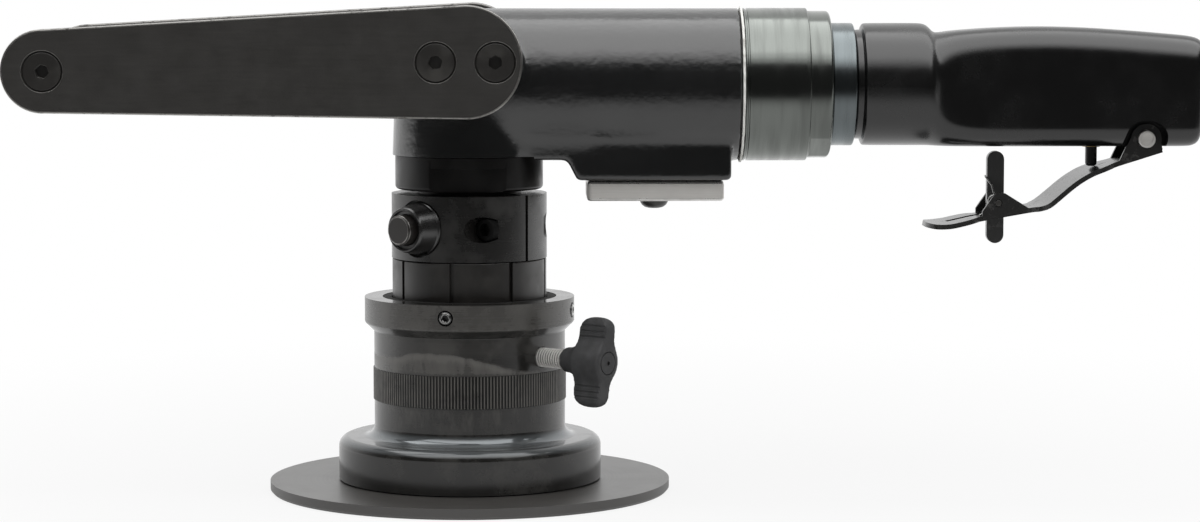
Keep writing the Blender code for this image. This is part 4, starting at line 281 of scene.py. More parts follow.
def apply(piece, kind, **settings):
    """A modifier added, set and applied."""
    choose(piece)
    bpy.ops.object.modifier_add(type=kind)
    step = piece.modifiers[-1]
    for name, value in settings.items():
        setattr(step, name, value)
    bpy.ops.object.modifier_apply(modifier=step.name)
    return piece


def combine(piece, operation, others):
    """Each other shape combined with the piece and thrown away."""
    for other in others:
        apply(piece, "BOOLEAN", operation=operation, solver="EXACT", object=other)
        bpy.data.objects.remove(other, do_unlink=True)
    return piece


def carve(piece, *tools):
    """Each tool cut from the piece."""
    return combine(piece, "DIFFERENCE", tools)


def weld(piece, *others):
    """Each other shape united with the piece."""
    return combine(piece, "UNION", others)


def soften(piece, width, segments=3, angle=35, rubbed=False):
    """The sharp edges bevelled; rubbed ones go into the second material slot, which for most pieces holds a
    painted edge highlight.
    """
    while rubbed and len(piece.data.materials) < 2:
        piece.data.materials.append(None)
    return apply(
        piece, "BEVEL", width=width, segments=segments, limit_method="ANGLE", angle_limit=degrees(angle),
        miter_outer="MITER_ARC", material=1 if rubbed else -1
    )


def relax(piece, passes, where):
    """The surface smoothed only at the points that a test picks."""
    choose(piece)
    bpy.ops.object.vertex_group_add()
    group = piece.vertex_groups[-1]
    group.add([vertex.index for vertex in piece.data.vertices if where(vertex.co)], 1.0, "REPLACE")
    apply(piece, "SMOOTH", factor=0.5, iterations=passes, vertex_group=group.name)
    piece.vertex_groups.clear()
    return piece


def cast(piece, voxel, passes):
    """The shape remeshed and smoothed, so that its inner corners become cast fillets."""
    apply(piece, "REMESH", mode="VOXEL", voxel_size=voxel)
    return apply(piece, "SMOOTH", factor=0.5, iterations=passes)


def bar(name, radius, half, fillet, place, steps):
    """A round bar along local Z, half of it to each side of its place, its rims rounded."""
    corners = [(0, -half, 0), (radius, -half, fillet), (radius, half, fillet), (0, half, 0)]
    return lathed(name, corners, place, steps)


def rod(radius, start, stop, place, steps=SMALL):
    """A plain round tool between two distances along local Z."""
    return turned("rod", [(0, start), (radius, start), (radius, stop), (0, stop)], place, steps)


def block(left, right, near, far, low, high):
    """A box-shaped tool, x counted from the spindle axis."""
    return pressed("block", rectangle(left, right, near, far), high - low, upright(0, 0, low))


def both_sides(reach, near, far, low, high):
    """The same box-shaped tool in front of the spindle axis and behind it."""
    return block(-reach, reach, -far, -near, low, high), block(-reach, reach, near, far, low, high)


def socket(across_flats, depth, place):
    """A hexagon tool that starts at its place and runs along local Z."""
    return pressed("socket", hexagon(across_flats), depth, place)


def fit(piece, finish, slot, body, *nodes, angle=32, weighted=True, edge=None):
    """The finished piece shaded, given its materials and set on its body."""
    edit(piece)
    bpy.ops.mesh.remove_doubles(threshold=TOUCH)
    bpy.ops.mesh.dissolve_degenerate(threshold=TOUCH)
    leave()
    bpy.ops.object.shade_smooth_by_angle(angle=degrees(angle))
    if weighted:
        apply(piece, "WEIGHTED_NORMAL", keep_sharp=True)
    for number, material in enumerate([finish, edge] if edge else [finish]):
        if number < len(piece.data.materials):
            piece.data.materials[number] = material
        else:
            piece.data.materials.append(material)
    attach(piece, body)
    if nodes:
        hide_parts(*nodes)
    return piece


# Finishes

def tone(red, green, blue):
    """A colour given as it shows on a screen, 0 to 255."""
    shares = [value / 255 for value in (red, green, blue)]
    levels = [s / 12.92 if s <= 0.04045 else ((s + 0.055) / 1.055) ** 2.4 for s in shares]
    return (*levels, 1.0)


class Signal:
    """One value on its way through a node tree: plain sums of signals write its nodes."""

    def __init__(self, nodes, socket):
        self.nodes = nodes
        self.socket = socket

    def maths(self, operation, first, second=0.0):
        return self.nodes.node("ShaderNodeMath", {"operation": operation}, {0: first, 1: second})

    def __add__(self, other):
        return self.maths("ADD", self, other)

    def __radd__(self, other):
        return self.maths("ADD", other, self)

    def __sub__(self, other):
        return self.maths("SUBTRACT", self, other)

    def __rsub__(self, other):
        return self.maths("SUBTRACT", other, self)

    def __mul__(self, other):
        return self.maths("MULTIPLY", self, other)

    def __rmul__(self, other):
        return self.maths("MULTIPLY", other, self)

    def __pow__(self, other):
        return self.maths("POWER", self, other)

    def least(self, other):
        return self.maths("MINIMUM", self, other)

    def most(self, other):
        return self.maths("MAXIMUM", self, other)

    def turn(self, other):
        return self.maths("ARCTAN2", self, other)

    def rise(self, low, high):
        """0 below low, 1 above high, and smooth between."""
        settings = {"interpolation_type": "SMOOTHSTEP"}
        values = {"Value": self, "From Min": low, "From Max": high, "To Min": 0.0, "To Max": 1.0}
        return self.nodes.node("ShaderNodeMapRange", settings, values)

    def fall(self, low, high):
        """1 below low, 0 above high, and smooth between."""
        return 1.0 - self.rise(low, high)


class Nodes:
    """A node tree that signals are written into."""

    def __init__(self, tree):
        self.tree = tree

    def node(self, kind, settings=None, values=None, output=0):
        """One node: its settings first, then a value or a link for each socket."""
        made = self.tree.nodes.new(kind)
        for name, value in (settings or {}).items():
            setattr(made, name, value)
        for name, value in (values or {}).items():
            self.feed(made.inputs[name], value)
        return Signal(self, made.outputs[output])

    def feed(self, socket, value):
        """A signal or a fixed value into a socket."""
        if isinstance(value, Signal):
            self.tree.links.new(value.socket, socket)
        else:
            socket.default_value = value

    def parts(self, vector, *outputs):
        """Some of a vector's parts, 0 to 2."""
        return [self.node("ShaderNodeSeparateXYZ", values={0: vector}, output=i) for i in outputs]

    def rays(self):
        """1 for the rays of the camera, of mirrors and of glass, 0 for the others."""
        kinds = ("Is Camera Ray", "Is Glossy Ray", "Is Transmission Ray")
        return [self.node("ShaderNodeLightPath", output=kind) for kind in kinds]


class Finish(Nodes):
    """A Principled material whose patterns are measured in metres on the tool."""

    def __init__(self, name, roughness, metallic=0.0, ior=1.5, coat=0.0):
        self.material = bpy.data.materials.new(name)
        self.material.use_nodes = True
        super().__init__(self.material.node_tree)
        self.shader = self.tree.nodes["Principled BSDF"]
        values = (roughness, metallic, ior, coat, 0.1)
        for name, value in zip(("Roughness", "Metallic", "IOR", "Coat Weight", "Coat Roughness"), values):
            self.shader.inputs[name].default_value = value
        self.place = self.node("ShaderNodeTexCoord", output="Object")
        self.x, self.y, self.z = self.parts(self.place, 0, 1, 2)

    def vector(self, x, y, z):
        """Three signals or values as one vector."""
        return self.node("ShaderNodeCombineXYZ", values={"X": x, "Y": y, "Z": z})

    def cloud(self, size, detail, rough, where=None):
        """Soft noise with lumps of about one size in metres."""
        values = {"Vector": where or self.place, "Scale": 1 / size, "Detail": detail, "Roughness": rough}
        return self.node("ShaderNodeTexNoise", values=values)

    def specks(self, size):
        """The distance to the nearest of many scattered points, in cell sizes."""
        values = {"Vector": self.place, "Scale": 1 / size}
        return self.node("ShaderNodeTexVoronoi", values=values, output="Distance")

    def mixed(self, share, first, second):
        """Two colours mixed by a share, each a signal or a tone as it shows on a screen."""
        first, second = (side if isinstance(side, Signal) else tone(*side) for side in (first, second))
        return self.node("ShaderNodeMix", {"data_type": "RGBA"}, {0: share, 6: first, 7: second}, 2)

    def relief(self, height, depth):
        """A bump from a height of 0 to 1, with a depth in metres."""
        return self.node("ShaderNodeBump", values={"Height": height, "Distance": depth, "Strength": 1.0})

    def from_axis(self, across, up):
        """The distance from an axis, given the two distances square to it."""
        return (across * across + up * up) ** 0.5

    def from_spindle(self):
        """The distance from the spindle axis."""
        return self.from_axis(self.x - SPINDLE, self.y)

    def from_motor(self):
        """The distance from the motor axis."""
        return self.from_axis(self.z - AXIS, self.y)

    def round_spindle(self):
        """Coordinates for lines turned round the spindle."""
        return self.vector(self.from_spindle(), 0.0, self.z)

    def set(self, colour, roughness, normal=None, metallic=None):
        """Signals fed to the shader's own sockets, and the finished material."""
        signals = {"Base Color": colour, "Roughness": roughness, "Metallic": metallic, "Normal": normal}
        for name, signal in signals.items():
            if signal is not None:
                self.feed(self.shader.inputs[name], signal)
        return self.material


def blackened_steel(name, dark, light, gloss=0.30, cloudy=1.0, ior=1.75):
    """Black oxide on turned steel: lathe lines, cloudy oxide and a handled sheen."""
    finish = Finish(name, gloss, 0.0, ior)
    turning = finish.round_spindle()
    lines = finish.cloud(0.00035, 2.0, 0.6, turning)
    broad = finish.cloud(0.0021, 2.0, 0.5, turning)
    film = cloudy * finish.cloud(0.016, 4.0, 0.6).rise(0.42, 0.68)
    colour = finish.mixed((film * 0.75 + lines * 0.25).least(1.0), dark, light)
    rough = gloss - 0.05 + 0.14 * film + 0.10 * (lines - 0.5)
    normal = finish.relief(lines * 0.7 + broad * 0.3, 0.000012)
    return finish.set(colour, rough, normal)


def adjuster_black():
    """The adjuster's oxide, with a painted reflection, a lighter swoosh, above its knurl, and a painted
    highlight on the flange's fillet.

    The swoosh's edge runs round the body; the other bands lie between fixed heights.
    """
    finish = Finish("adjuster_black", 0.22, 0.0, 1.70)
    turning = finish.round_spindle()
    lines = finish.cloud(0.00035, 2.0, 0.6, turning)
    broad = finish.cloud(0.0024, 2.0, 0.5, turning)
    film = finish.cloud(0.014, 4.0, 0.6).rise(0.42, 0.70)
    # Painted reflection: a lighter swoosh above the knurl, brightest just under its wavering edge
    azimuth = (finish.x - SPINDLE).turn(0.0 - finish.y)
    edge = 0.0600 - 0.0085 * azimuth.rise(-0.30, 0.85) - 0.0025 * azimuth.fall(-1.0, -0.5)
    edge = edge + 0.0030 * (finish.cloud(0.011, 4.0, 0.6) - 0.5)
    z = finish.z
    lip = z.fall(edge - 0.0004, edge + 0.0007) * z.rise(edge - 0.0040, edge - 0.0010)
    swoosh_mask = z.fall(edge - 0.0016, edge + 0.0007) * z.rise(0.0500, 0.0530)
    swoosh_mask = (swoosh_mask * 0.70 + lip * 0.45) * azimuth.fall(0.75, 0.95) * azimuth.rise(-2.7, -1.7)
    streak = finish.cloud(0.005, 4.0, 0.65, finish.vector(finish.x, finish.y, z * 0.25))
    swoosh_reflection = swoosh_mask * (0.45 + 0.55 * streak.rise(0.30, 0.62))
    # Lighter bands at fixed heights: under the knurl, on the wall above it and on the top ring
    below = z.fall(0.0360, 0.0385) * z.rise(0.0270, 0.0330) * streak.rise(0.42, 0.70)
    ring = z.rise(0.0690, 0.0702) * z.fall(0.0802, 0.0803)
    wall = z.rise(0.0560, 0.0620) * z.fall(0.0655, 0.0670)
    # The film now holds the oxide cloud, the painted swoosh and the lighter bands
    film = (film * 0.25 + swoosh_reflection + 0.32 * below + 0.42 * ring + 0.16 * wall).least(1.0)
    # Painted highlight: a bluish grey, partly metallic band on the flange's fillet, half as strong on its
    # rounded rim
    fillet_highlight = z.rise(0.0223, 0.0231) * z.fall(0.0246, 0.0272)
    rim_highlight = z.rise(0.0196, 0.0212) * z.fall(0.0222, 0.0226)
    fillet_highlight = (fillet_highlight + 0.5 * rim_highlight).least(1.0)
    black = finish.mixed((film * 0.88 + lines * 0.12).least(1.0), (21, 20, 19), (106, 104, 100))
    colour = finish.mixed(0.75 * fillet_highlight, black, (138, 143, 146))
    rough = 0.17 + 0.22 * film + 0.08 * (lines - 0.5) - 0.06 * fillet_highlight
    normal = finish.relief(lines * 0.6 + broad * 0.4, 0.000014)
    return finish.set(colour, rough, normal, 0.55 * fillet_highlight)


def knurled_black():
    """Oxide on the knurl, with a painted highlight along the crests, lighter steel broken up by wear."""
    finish = Finish("knurl_black", 0.28, 0.0, 1.75)
    crest = finish.from_spindle().rise(0.03970, 0.03988)
    wear = finish.cloud(0.006, 3.0, 0.6).rise(0.25, 0.60)
    # Painted highlight, partly wear: the crests lighter and more metallic in patches
    rubbed = crest * (0.35 + 0.65 * wear)
    colour = finish.mixed(rubbed, (8, 8, 8), (118, 116, 112))
    return finish.set(colour, 0.26 + 0.10 * wear, metallic=0.6 * rubbed)


def highlighted_worn_edge(name, dark, light, amount=0.42):
    """A painted highlight along a bevelled corner, bright metal in patches, with the black left in places."""
    finish = Finish(name, 0.34, 1.0)
    bare_and_lit = finish.cloud(0.0035, 4.0, 0.65).rise(amount - 0.10, amount + 0.08)
    scuff = finish.cloud(0.0007, 2.0, 0.6)
    colour = finish.mixed((bare_and_lit * 0.8 + scuff * 0.2).least(1.0), dark, light)
    return finish.set(colour, 0.30 + 0.12 * scuff, metallic=0.55 + 0.45 * bare_and_lit)


def plate_black():
    """Matte black on flat ground plate, with faint mottling and pinholes."""
    finish = Finish("plate_black", 0.50)
    mottle = finish.cloud(0.009, 5.0, 0.6)
    grind = finish.cloud(0.0012, 3.0, 0.6, finish.vector(finish.x * 0.08, finish.y, finish.z))
    grain = finish.cloud(0.0004, 2.0, 0.6)
    shade = mottle * 0.25 + grind * 0.45 + grain * 0.30
    colour = finish.mixed(shade, (38, 37, 36), (68, 66, 63))
    rough = 0.46 + 0.12 * mottle.rise(0.35, 0.7)
    return finish.set(colour, rough, finish.relief(grain * 0.6 + mottle * 0.4, 0.00002))


def casting_paint():
    """Gloss black over a cast surface, with orange peel, a few dents and dust."""
    finish = Finish("casting_black", 0.20, 0.0, 1.90, 0.2)
    peel = finish.cloud(0.0046, 2.0, 0.5)
    ripple = finish.cloud(0.0020, 2.0, 0.5)
    dents = finish.specks(0.019).rise(0.0, 0.10)
    patch = finish.cloud(0.03, 3.0, 0.5).rise(0.35, 0.65)
    colour = finish.mixed(finish.cloud(0.005, 3.0, 0.6), (17, 18, 18), (27, 28, 28))
    rough = 0.15 + 0.08 * patch + 0.05 * ripple
    height = peel * 0.45 + ripple * (0.20 + 0.25 * patch) + dents * 0.25
    return finish.set(colour, rough, finish.relief(height, 0.00026))


def grip_paint():
    """Semi-gloss black with a fine even grain."""
    finish = Finish("grip_black", 0.24, 0.0, 1.80)
    grain = finish.cloud(0.0009, 3.0, 0.6)
    swell = finish.cloud(0.013, 2.0, 0.5)
    rubbed = finish.cloud(0.022, 4.0, 0.6).rise(0.42, 0.7)
    colour = finish.mixed(rubbed * 0.6 + grain * 0.4, (13, 13, 13), (22, 22, 22))
    rough = 0.20 + 0.07 * rubbed + 0.04 * grain
    return finish.set(colour, rough, finish.relief(grain * 0.35 + swell * 0.65, 0.00006))


def lever_paint(name, low=(36, 36, 36), high=(78, 77, 75)):
    """Black on pressed sheet, glossy, with a little wear to grey."""
    finish = Finish(name, 0.24, 0.0, 1.52)
    wear = finish.cloud(0.004, 5.0, 0.65).rise(0.55, 0.72)
    grain = finish.cloud(0.0006, 2.0, 0.6)
    colour = finish.mixed(wear * 0.5 + grain * 0.3, low, high)
    return finish.set(colour, 0.22 + 0.16 * wear, finish.relief(grain, 0.000015))


def bright_steel(name, way="motor", low=(118, 115, 111), high=(196, 195, 190), gloss=0.20):
    """Bare turned steel: fine lines round its axis and soft bands along it."""
    finish = Finish(name, gloss, 1.0)
    if way == "motor":
        turning = finish.vector(finish.from_motor(), 0.0, finish.x)
        swept = finish.vector(finish.y * 0.10, finish.z * 0.10, finish.x)
    elif way == "spindle":
        turning = finish.round_spindle()
        swept = turning
    else:
        turning = finish.place
        swept = finish.place
    lines = finish.cloud(0.00028, 3.0, 0.65, turning)
    bands = finish.cloud(0.0045, 2.0, 0.5, swept).rise(0.35, 0.65)
    shade = (0.30 * lines + 0.28 * bands).least(1.0)
    colour = finish.mixed(shade, high, low)
    rough = gloss - 0.03 + 0.08 * bands + 0.06 * (lines - 0.5)
    return finish.set(colour, rough, finish.relief(lines * 0.8 + bands * 0.2, 0.000008))


def stainless(name):
    """Brushed stainless sheet, lines along its length."""
    finish = Finish(name, 0.55, 0.60)
    brush = finish.cloud(0.0004, 3.0, 0.65, finish.vector(finish.x * 0.03, finish.y, finish.z))
    cloudy = finish.cloud(0.012, 4.0, 0.6)
    colour = finish.mixed(brush * 0.6 + cloudy * 0.4, (250, 248, 244), (224, 221, 216))
    return finish.set(colour, 0.52 + 0.12 * brush, finish.relief(brush, 0.000010))


def gasket_paper():
    """Pale fibre paper with a torn, dirty edge."""
    finish = Finish("gasket_paper", 0.85)
    fibre = finish.cloud(0.0007, 4.0, 0.7)
    dirt = finish.cloud(0.004, 4.0, 0.6).rise(0.5, 0.75)
    colour = finish.mixed(dirt * 0.6 + fibre * 0.2, (248, 248, 243), (176, 173, 165))
    return finish.set(colour, 0.8 + 0.1 * fibre, finish.relief(fibre, 0.00012))


def moulded_plastic():
    """Glass-filled plastic: dull, finely spark-eroded, with a greyish bloom."""
    finish = Finish("knob_plastic", 0.62)
    spark = finish.cloud(0.0005, 3.0, 0.7)
    bloom = finish.cloud(0.006, 4.0, 0.6).rise(0.35, 0.7)
    colour = finish.mixed(bloom * 0.6 + spark * 0.4, (54, 54, 55), (76, 76, 77))
    return finish.set(colour, 0.55 + 0.14 * spark, finish.relief(spark, 0.00004))


def turned_brass():
    """Yellow brass with dull spots."""
    finish = Finish("valve_brass", 0.30, 1.0)
    dull = finish.cloud(0.002, 4.0, 0.6).rise(0.4, 0.7)
    colour = finish.mixed(dull, (214, 186, 132), (150, 120, 78))
    return finish.set(colour, 0.24 + 0.25 * dull, finish.relief(dull, 0.00001))


def thread_steel():
    """The knob's plated stud thread, with a painted highlight on its crests and painted shade down in its
    grooves.
    """
    finish = Finish("thread_steel", 0.34, 0.35)
    angle = degrees(KNOB_AZIMUTH)
    sideways = (finish.x - SPINDLE) * math.cos(angle) + finish.y * math.sin(angle)
    up = finish.z - KNOB_HEIGHT
    # Painted light: crests near white, grooves near black, whichever way they face
    crest = finish.from_axis(sideways, up).rise(0.00345, 0.00385)
    dull = finish.cloud(0.0012, 3.0, 0.6)
    colour = finish.mixed(crest * (0.85 + 0.15 * dull), (30, 29, 28), (246, 244, 240))
    return finish.set(colour, 0.30 + 0.12 * dull)


def soft_black():
    """Dull black rubber with a dusty bloom."""
    finish = Finish("wiper_rubber", 0.75)
    dust = finish.cloud(0.003, 4.0, 0.65)
    colour = finish.mixed(dust, (18, 18, 18), (40, 39, 37))
    return finish.set(colour, 0.68 + 0.2 * dust, finish.relief(dust, 0.00003))


def coated_carbide():
    """Gold coating over ground carbide."""
    finish = Finish("insert_gold", 0.28, 1.0)
    ground = finish.cloud(0.0003, 3.0, 0.6, finish.vector(finish.x, finish.y, finish.z * 0.1))
    colour = finish.mixed(ground, (206, 170, 84), (160, 124, 52))
    return finish.set(colour, 0.22 + 0.2 * ground, finish.relief(ground, 0.00001))


COLUMN_BLACK = blackened_steel("column_black", (27, 26, 25), (46, 45, 43))
SLEEVE_BROWN = blackened_steel("sleeve_brown", (30, 28, 26), (46, 43, 39), 0.36)
ADJUSTER_BLACK = adjuster_black()
KNURL_BLACK = knurled_black()
DISC_BLACK = blackened_steel("disc_black", (66, 64, 62), (84, 82, 79), 0.40, 0.2, 1.95)
BEARING_BLACK = blackened_steel("bearing_black", (18, 17, 17), (28, 27, 26), 0.34, 1.0, 1.45)
BOSS_BLACK = blackened_steel("boss_black", (26, 25, 25), (38, 37, 36), 0.32, 0.3, 2.0)
BUTTON_BROWN = blackened_steel("button_brown", (33, 29, 27), (44, 40, 37), 0.42)
SCREW_BLACK = blackened_steel("screw_black", (38, 36, 34), (60, 58, 54), 0.42)
# Painted shade: the clamp screw down in its pocket is coloured near black
CLAMP_SCREW_SHADE = blackened_steel("clamp_screw_shade", (8, 8, 8), (14, 13, 13), 0.70, 1.0, 1.3)
# Painted edge highlights: light metal on the bevels of the black parts, whichever way they face
EDGE_HIGHLIGHT = highlighted_worn_edge("edge_highlight_worn", (90, 88, 85), (196, 194, 190))
EDGE_HIGHLIGHT_FAINT = highlighted_worn_edge("edge_highlight_faint", (80, 78, 76), (176, 174, 170), 0.48)
PLATE_BLACK = plate_black()
CASTING_BLACK = casting_paint()
GRIP_BLACK = grip_paint()
LEVER_BLACK = lever_paint("lever_black")
TAB_BLACK = lever_paint("tab_black", (62, 62, 62), (86, 86, 84))
RING_STEEL = bright_steel("ring_steel", "motor", (78, 79, 77), (140, 144, 140))
COLLAR_STEEL = bright_steel("collar_steel", "motor", (92, 97, 98), (128, 135, 137), 0.26)
SPINDLE_STEEL = bright_steel("spindle_steel", "spindle", gloss=0.24)
PIN_STEEL = bright_steel("pin_steel", "plain", (150, 150, 148), (222, 222, 220), 0.16)
PIN_END = stainless("pin_end")
COVER_STEEL = stainless("cover_steel")
COVER_EDGE = bright_steel("cover_edge", "plain", (190, 188, 184), (250, 249, 246), 0.30)
GASKET_PAPER = gasket_paper()
KNOB_PLASTIC = moulded_plastic()
VALVE_BRASS = turned_brass()
WIPER_RUBBER = soft_black()
INSERT_GOLD = coated_carbide()
THREAD_STEEL = thread_steel()


# Base disc, adjuster and click plungers

EIGHTHS = [45.0 * number - 12.0 for number in range(8)]
RING_MIDDLE = 0.0751


def base_disc():
    """The wide thin disc with its bevelled rim and three countersunk holes below."""
    rim = [(0.0270, 0), (0.0818, 0), (0.0827, 0.0010), (0.0827, 0.0044), (0.0270, 0.0044)]
    disc = turned("disc", rim, upright(), WIDE)
    for number in range(3):
        spot = radial(KNOB_AZIMUTH + 120 * number, 0, 0.0420).translation
        carve(disc, turned("countersink", [
            (0, -OVER), (0.0053, -OVER), (0.0053, 0.0003), (0.0028, 0.0028), (0.0028, 0.0064), (0, 0.0064),
        ], Matrix.Translation(spot), SMALL))
    soften(disc, 0.00055, 3, 35, rubbed=True)
    fit(disc, DISC_BLACK, "black_oxide_steel", "adjuster", "base_disc", edge=EDGE_HIGHLIGHT_FAINT)


def adjuster():
    """Flange, body, cone and ring turned from one bar, with its tapped holes."""
    body = lathed("adjuster_body", [
        (0.0270, 0.0047, 0.0003), (0.0543, 0.0047, 0.0006), (0.0543, 0.0226, 0.0042),
        (0.0395, 0.0226, 0.0050), (0.0395, 0.0379, 0.0002), (0.0391, 0.0381, 0.0002),
        (0.0391, 0.0509, 0.0002), (0.0395, 0.0511, 0.0002), (0.0395, 0.0663, 0.0005),
        (0.0430, 0.0697, 0.0003), (0.0433, 0.0703, 0.0002), (0.0433, 0.0803, 0),
        (0.0359, 0.0803, 0), (0.0359, 0.0785, 0.0001), (0.0321, 0.0785, 0.0001),
        (0.0321, 0.0240, 0.0001), (0.0270, 0.0240, 0.0001),
    ], upright(), WIDE)
    tools = [rod(0.0043, 0.030, 0.045, radial(KNOB_AZIMUTH, KNOB_HEIGHT), FINE)]
    tools += [rod(0.0032, 0.030, 0.046, radial(azimuth, RING_MIDDLE), FINE) for azimuth in EIGHTHS[::2]]
    carve(body, *tools)
    soften(body, 0.0003, 2, 60, rubbed=True)
    fit(body, ADJUSTER_BLACK, "black_oxide_steel", "adjuster", "depth_adjuster", edge=EDGE_HIGHLIGHT_FAINT)


def knurled_band():
    """The band of straight knurls, drawn in at each end to a chamfer and a flat."""
    teeth, root, crest = 186, 0.03945, 0.03990
    low, high, chamfer = 0.0380, 0.0510, 0.0002
    points = []
    for number in range(teeth):
        for share, radius in ((0.0, root), (0.30, crest), (0.60, crest), (0.90, root)):
            angle = 2 * math.pi * (number + share) / teeth
            points.append((radius * math.cos(angle), radius * math.sin(angle)))
    band = outline("knurled_band", points)
    edit(band)
    bpy.ops.mesh.extrude_region_move(TRANSFORM_OT_translate={"value": (0, 0, high - low)})
    leave()
    settle(band, upright(0, 0, low))
    for height, lift in ((low, -chamfer), (high, chamfer)):
        edit(band, lambda at: abs(at.z - height) < MERGE)
        for rise, shrink in ((lift, 0.988), (0, 0.985)):
            bpy.ops.mesh.extrude_region_move(TRANSFORM_OT_translate={"value": (0, 0, rise)})
            bpy.ops.transform.resize(value=(shrink, shrink, 1), center_override=(SPINDLE, 0, 0))
        leave()
    edit(band)
    bpy.ops.mesh.select_all(action="DESELECT")
    bpy.ops.mesh.select_mode(type="EDGE")
    bpy.ops.mesh.select_non_manifold()
    bpy.ops.mesh.bridge_edge_loops()
    bpy.ops.mesh.select_mode(type="VERT")
    outward()
    leave()
    fit(band, KNURL_BLACK, "black_oxide_steel", "adjuster", angle=20, weighted=False)


def click_plungers():
    """Four small set screws with hex sockets and bright worn rims, flush in the ring."""
    for number in range(4):
        place = radial(EIGHTHS[2 * number], RING_MIDDLE)
        body = lathed(f"plunger_{number + 1}", [
            (0, 0.0322, 0), (0.0014, 0.0322, 0.0006), (0.0014, 0.0356, 0), (0.0027, 0.0356, 0),
            (0.0027, 0.0436, 0.0006), (0, 0.0436, 0),
        ], place, FINE)
        lead = [(0, 0.0429), (0.0010, 0.0429), (0.0021, 0.0440), (0, 0.0440)]
        carve(body, socket(0.0022, 0.004, lifted(place, 0.0412)), turned("lead", lead, place, FINE))
        fit(body, BOSS_BLACK, "black_oxide_steel", "adjuster", f"click_plunger_{number + 1}")
        rim = lathed(f"plunger_rim_{number + 1}", [
            (0.0014, 0.0432, 0.0001), (0.0023, 0.0432, 0.0002), (0.0022, 0.0438, 0.0003),
            (0.0014, 0.0438, 0.0002),
        ], place, FINE)
        fit(rim, PIN_STEEL, "black_oxide_steel", "adjuster")


def wiper():
    """The tabbed ring in the adjuster's mouth."""
    ring = lathed("wiper", [
        (0.0321, 0.0789, 0.0002), (0.0356, 0.0789, 0.0002), (0.0356, 0.0803, 0.0002),
        (0.0321, 0.0803, 0.0003),
    ], upright())
    tab = rectangle(-0.0006, 0.0006, 0, 0.0014)
    weld(ring, *[pressed("tab", tab, 0.0025, radial(azimuth, 0.0789, 0.0309)) for azimuth in EIGHTHS])
    fit(ring, WIPER_RUBBER, "black_rubber", "wiper", "wiper_ring")


def sleeve():
    """The threaded sleeve with eight click grooves down its side."""
    tube = lathed("sleeve", [
        (0.0160, 0.0400, 0.0003), (0.0318, 0.0400, 0.0004), (0.0318, 0.0962, 0.0005),
        (0.0267, 0.0962, 0), (0.0267, 0.1019, 0.0003), (0.0240, 0.1019, 0.0003),
        (0.0240, 0.0566, 0), (0.0213, 0.0566, 0), (0.0213, 0.0440, 0), (0.0160, 0.0440, 0),
    ], upright(), WIDE)
    groove = rectangle(-0.0009, 0.0009, 0, 0.08)
    carve(tube, *[pressed("groove", groove, 0.004, radial(azimuth, 0.030, 0.0303)) for azimuth in EIGHTHS])
    fit(tube, SLEEVE_BROWN, "black_oxide_steel", "head", "grooved_sleeve")


# Clamp collar, spindle lock and bearing housing

COLLAR_MIDDLE = 0.1098
SLOT_AZIMUTH = 48.0
LOCK_LINE = radial(-40.0, COLLAR_MIDDLE)


def clamp_line(reach=0.0):
    """Local Z runs along the clamp screw, square to the collar's slot."""
    return lifted(radial(SLOT_AZIMUTH, COLLAR_MIDDLE, 0.0253) @ Matrix.Rotation(math.pi / 2, 4, "Y"), reach)


def collar():
    """The split collar with its slot, screw pockets and the flat seat of the lock."""
    ring = lathed("collar", [
        (0.0270, 0.0965, 0), (0.0320, 0.0965, 0), (0.0320, 0.1231, 0), (0.0215, 0.1231, 0),
        (0.0215, 0.1022, 0), (0.0270, 0.1022, 0),
    ], upright(), WIDE)
    slot = rectangle(-0.00075, 0.00075, -OVER, 0.0290)
    seat, pocket = 0.0139, 0.0320
    carve(
        ring,
        pressed("slot", slot, 0.0200, radial(SLOT_AZIMUTH, 0.0965, 0.0190)),
        rod(0.0052, -seat - pocket, -seat, clamp_line(), FINE),
        rod(0.0052, seat, seat + pocket, clamp_line(), FINE),
        rod(0.0033, -0.0160, 0.0160, clamp_line()),
        rod(0.0117, 0.0300, 0.0340, LOCK_LINE, FINE),
        rod(0.0033, 0.0100, 0.0340, LOCK_LINE),
    )
    soften(ring, 0.00045, 2, 40, rubbed=True)
    fit(ring, COLUMN_BLACK, "black_oxide_steel", "head", "clamp_collar", angle=28, edge=EDGE_HIGHLIGHT_FAINT)

    head, seat, tip = -0.0180, -0.0142, 0.0136
    screw = lathed("clamp_bolt", [
        (0, head, 0), (0.0046, head, 0.0006), (0.0046, seat, 0.0002), (0.0030, seat, 0),
        (0.0030, tip, 0.0004), (0, tip, 0),
    ], clamp_line(), FINE)
    carve(screw, socket(0.0050, 0.0050, clamp_line(head - OVER)))
    # The screw carries the painted shade of its pocket
    fit(screw, CLAMP_SCREW_SHADE, "black_oxide_steel", "head", "clamp_screw")


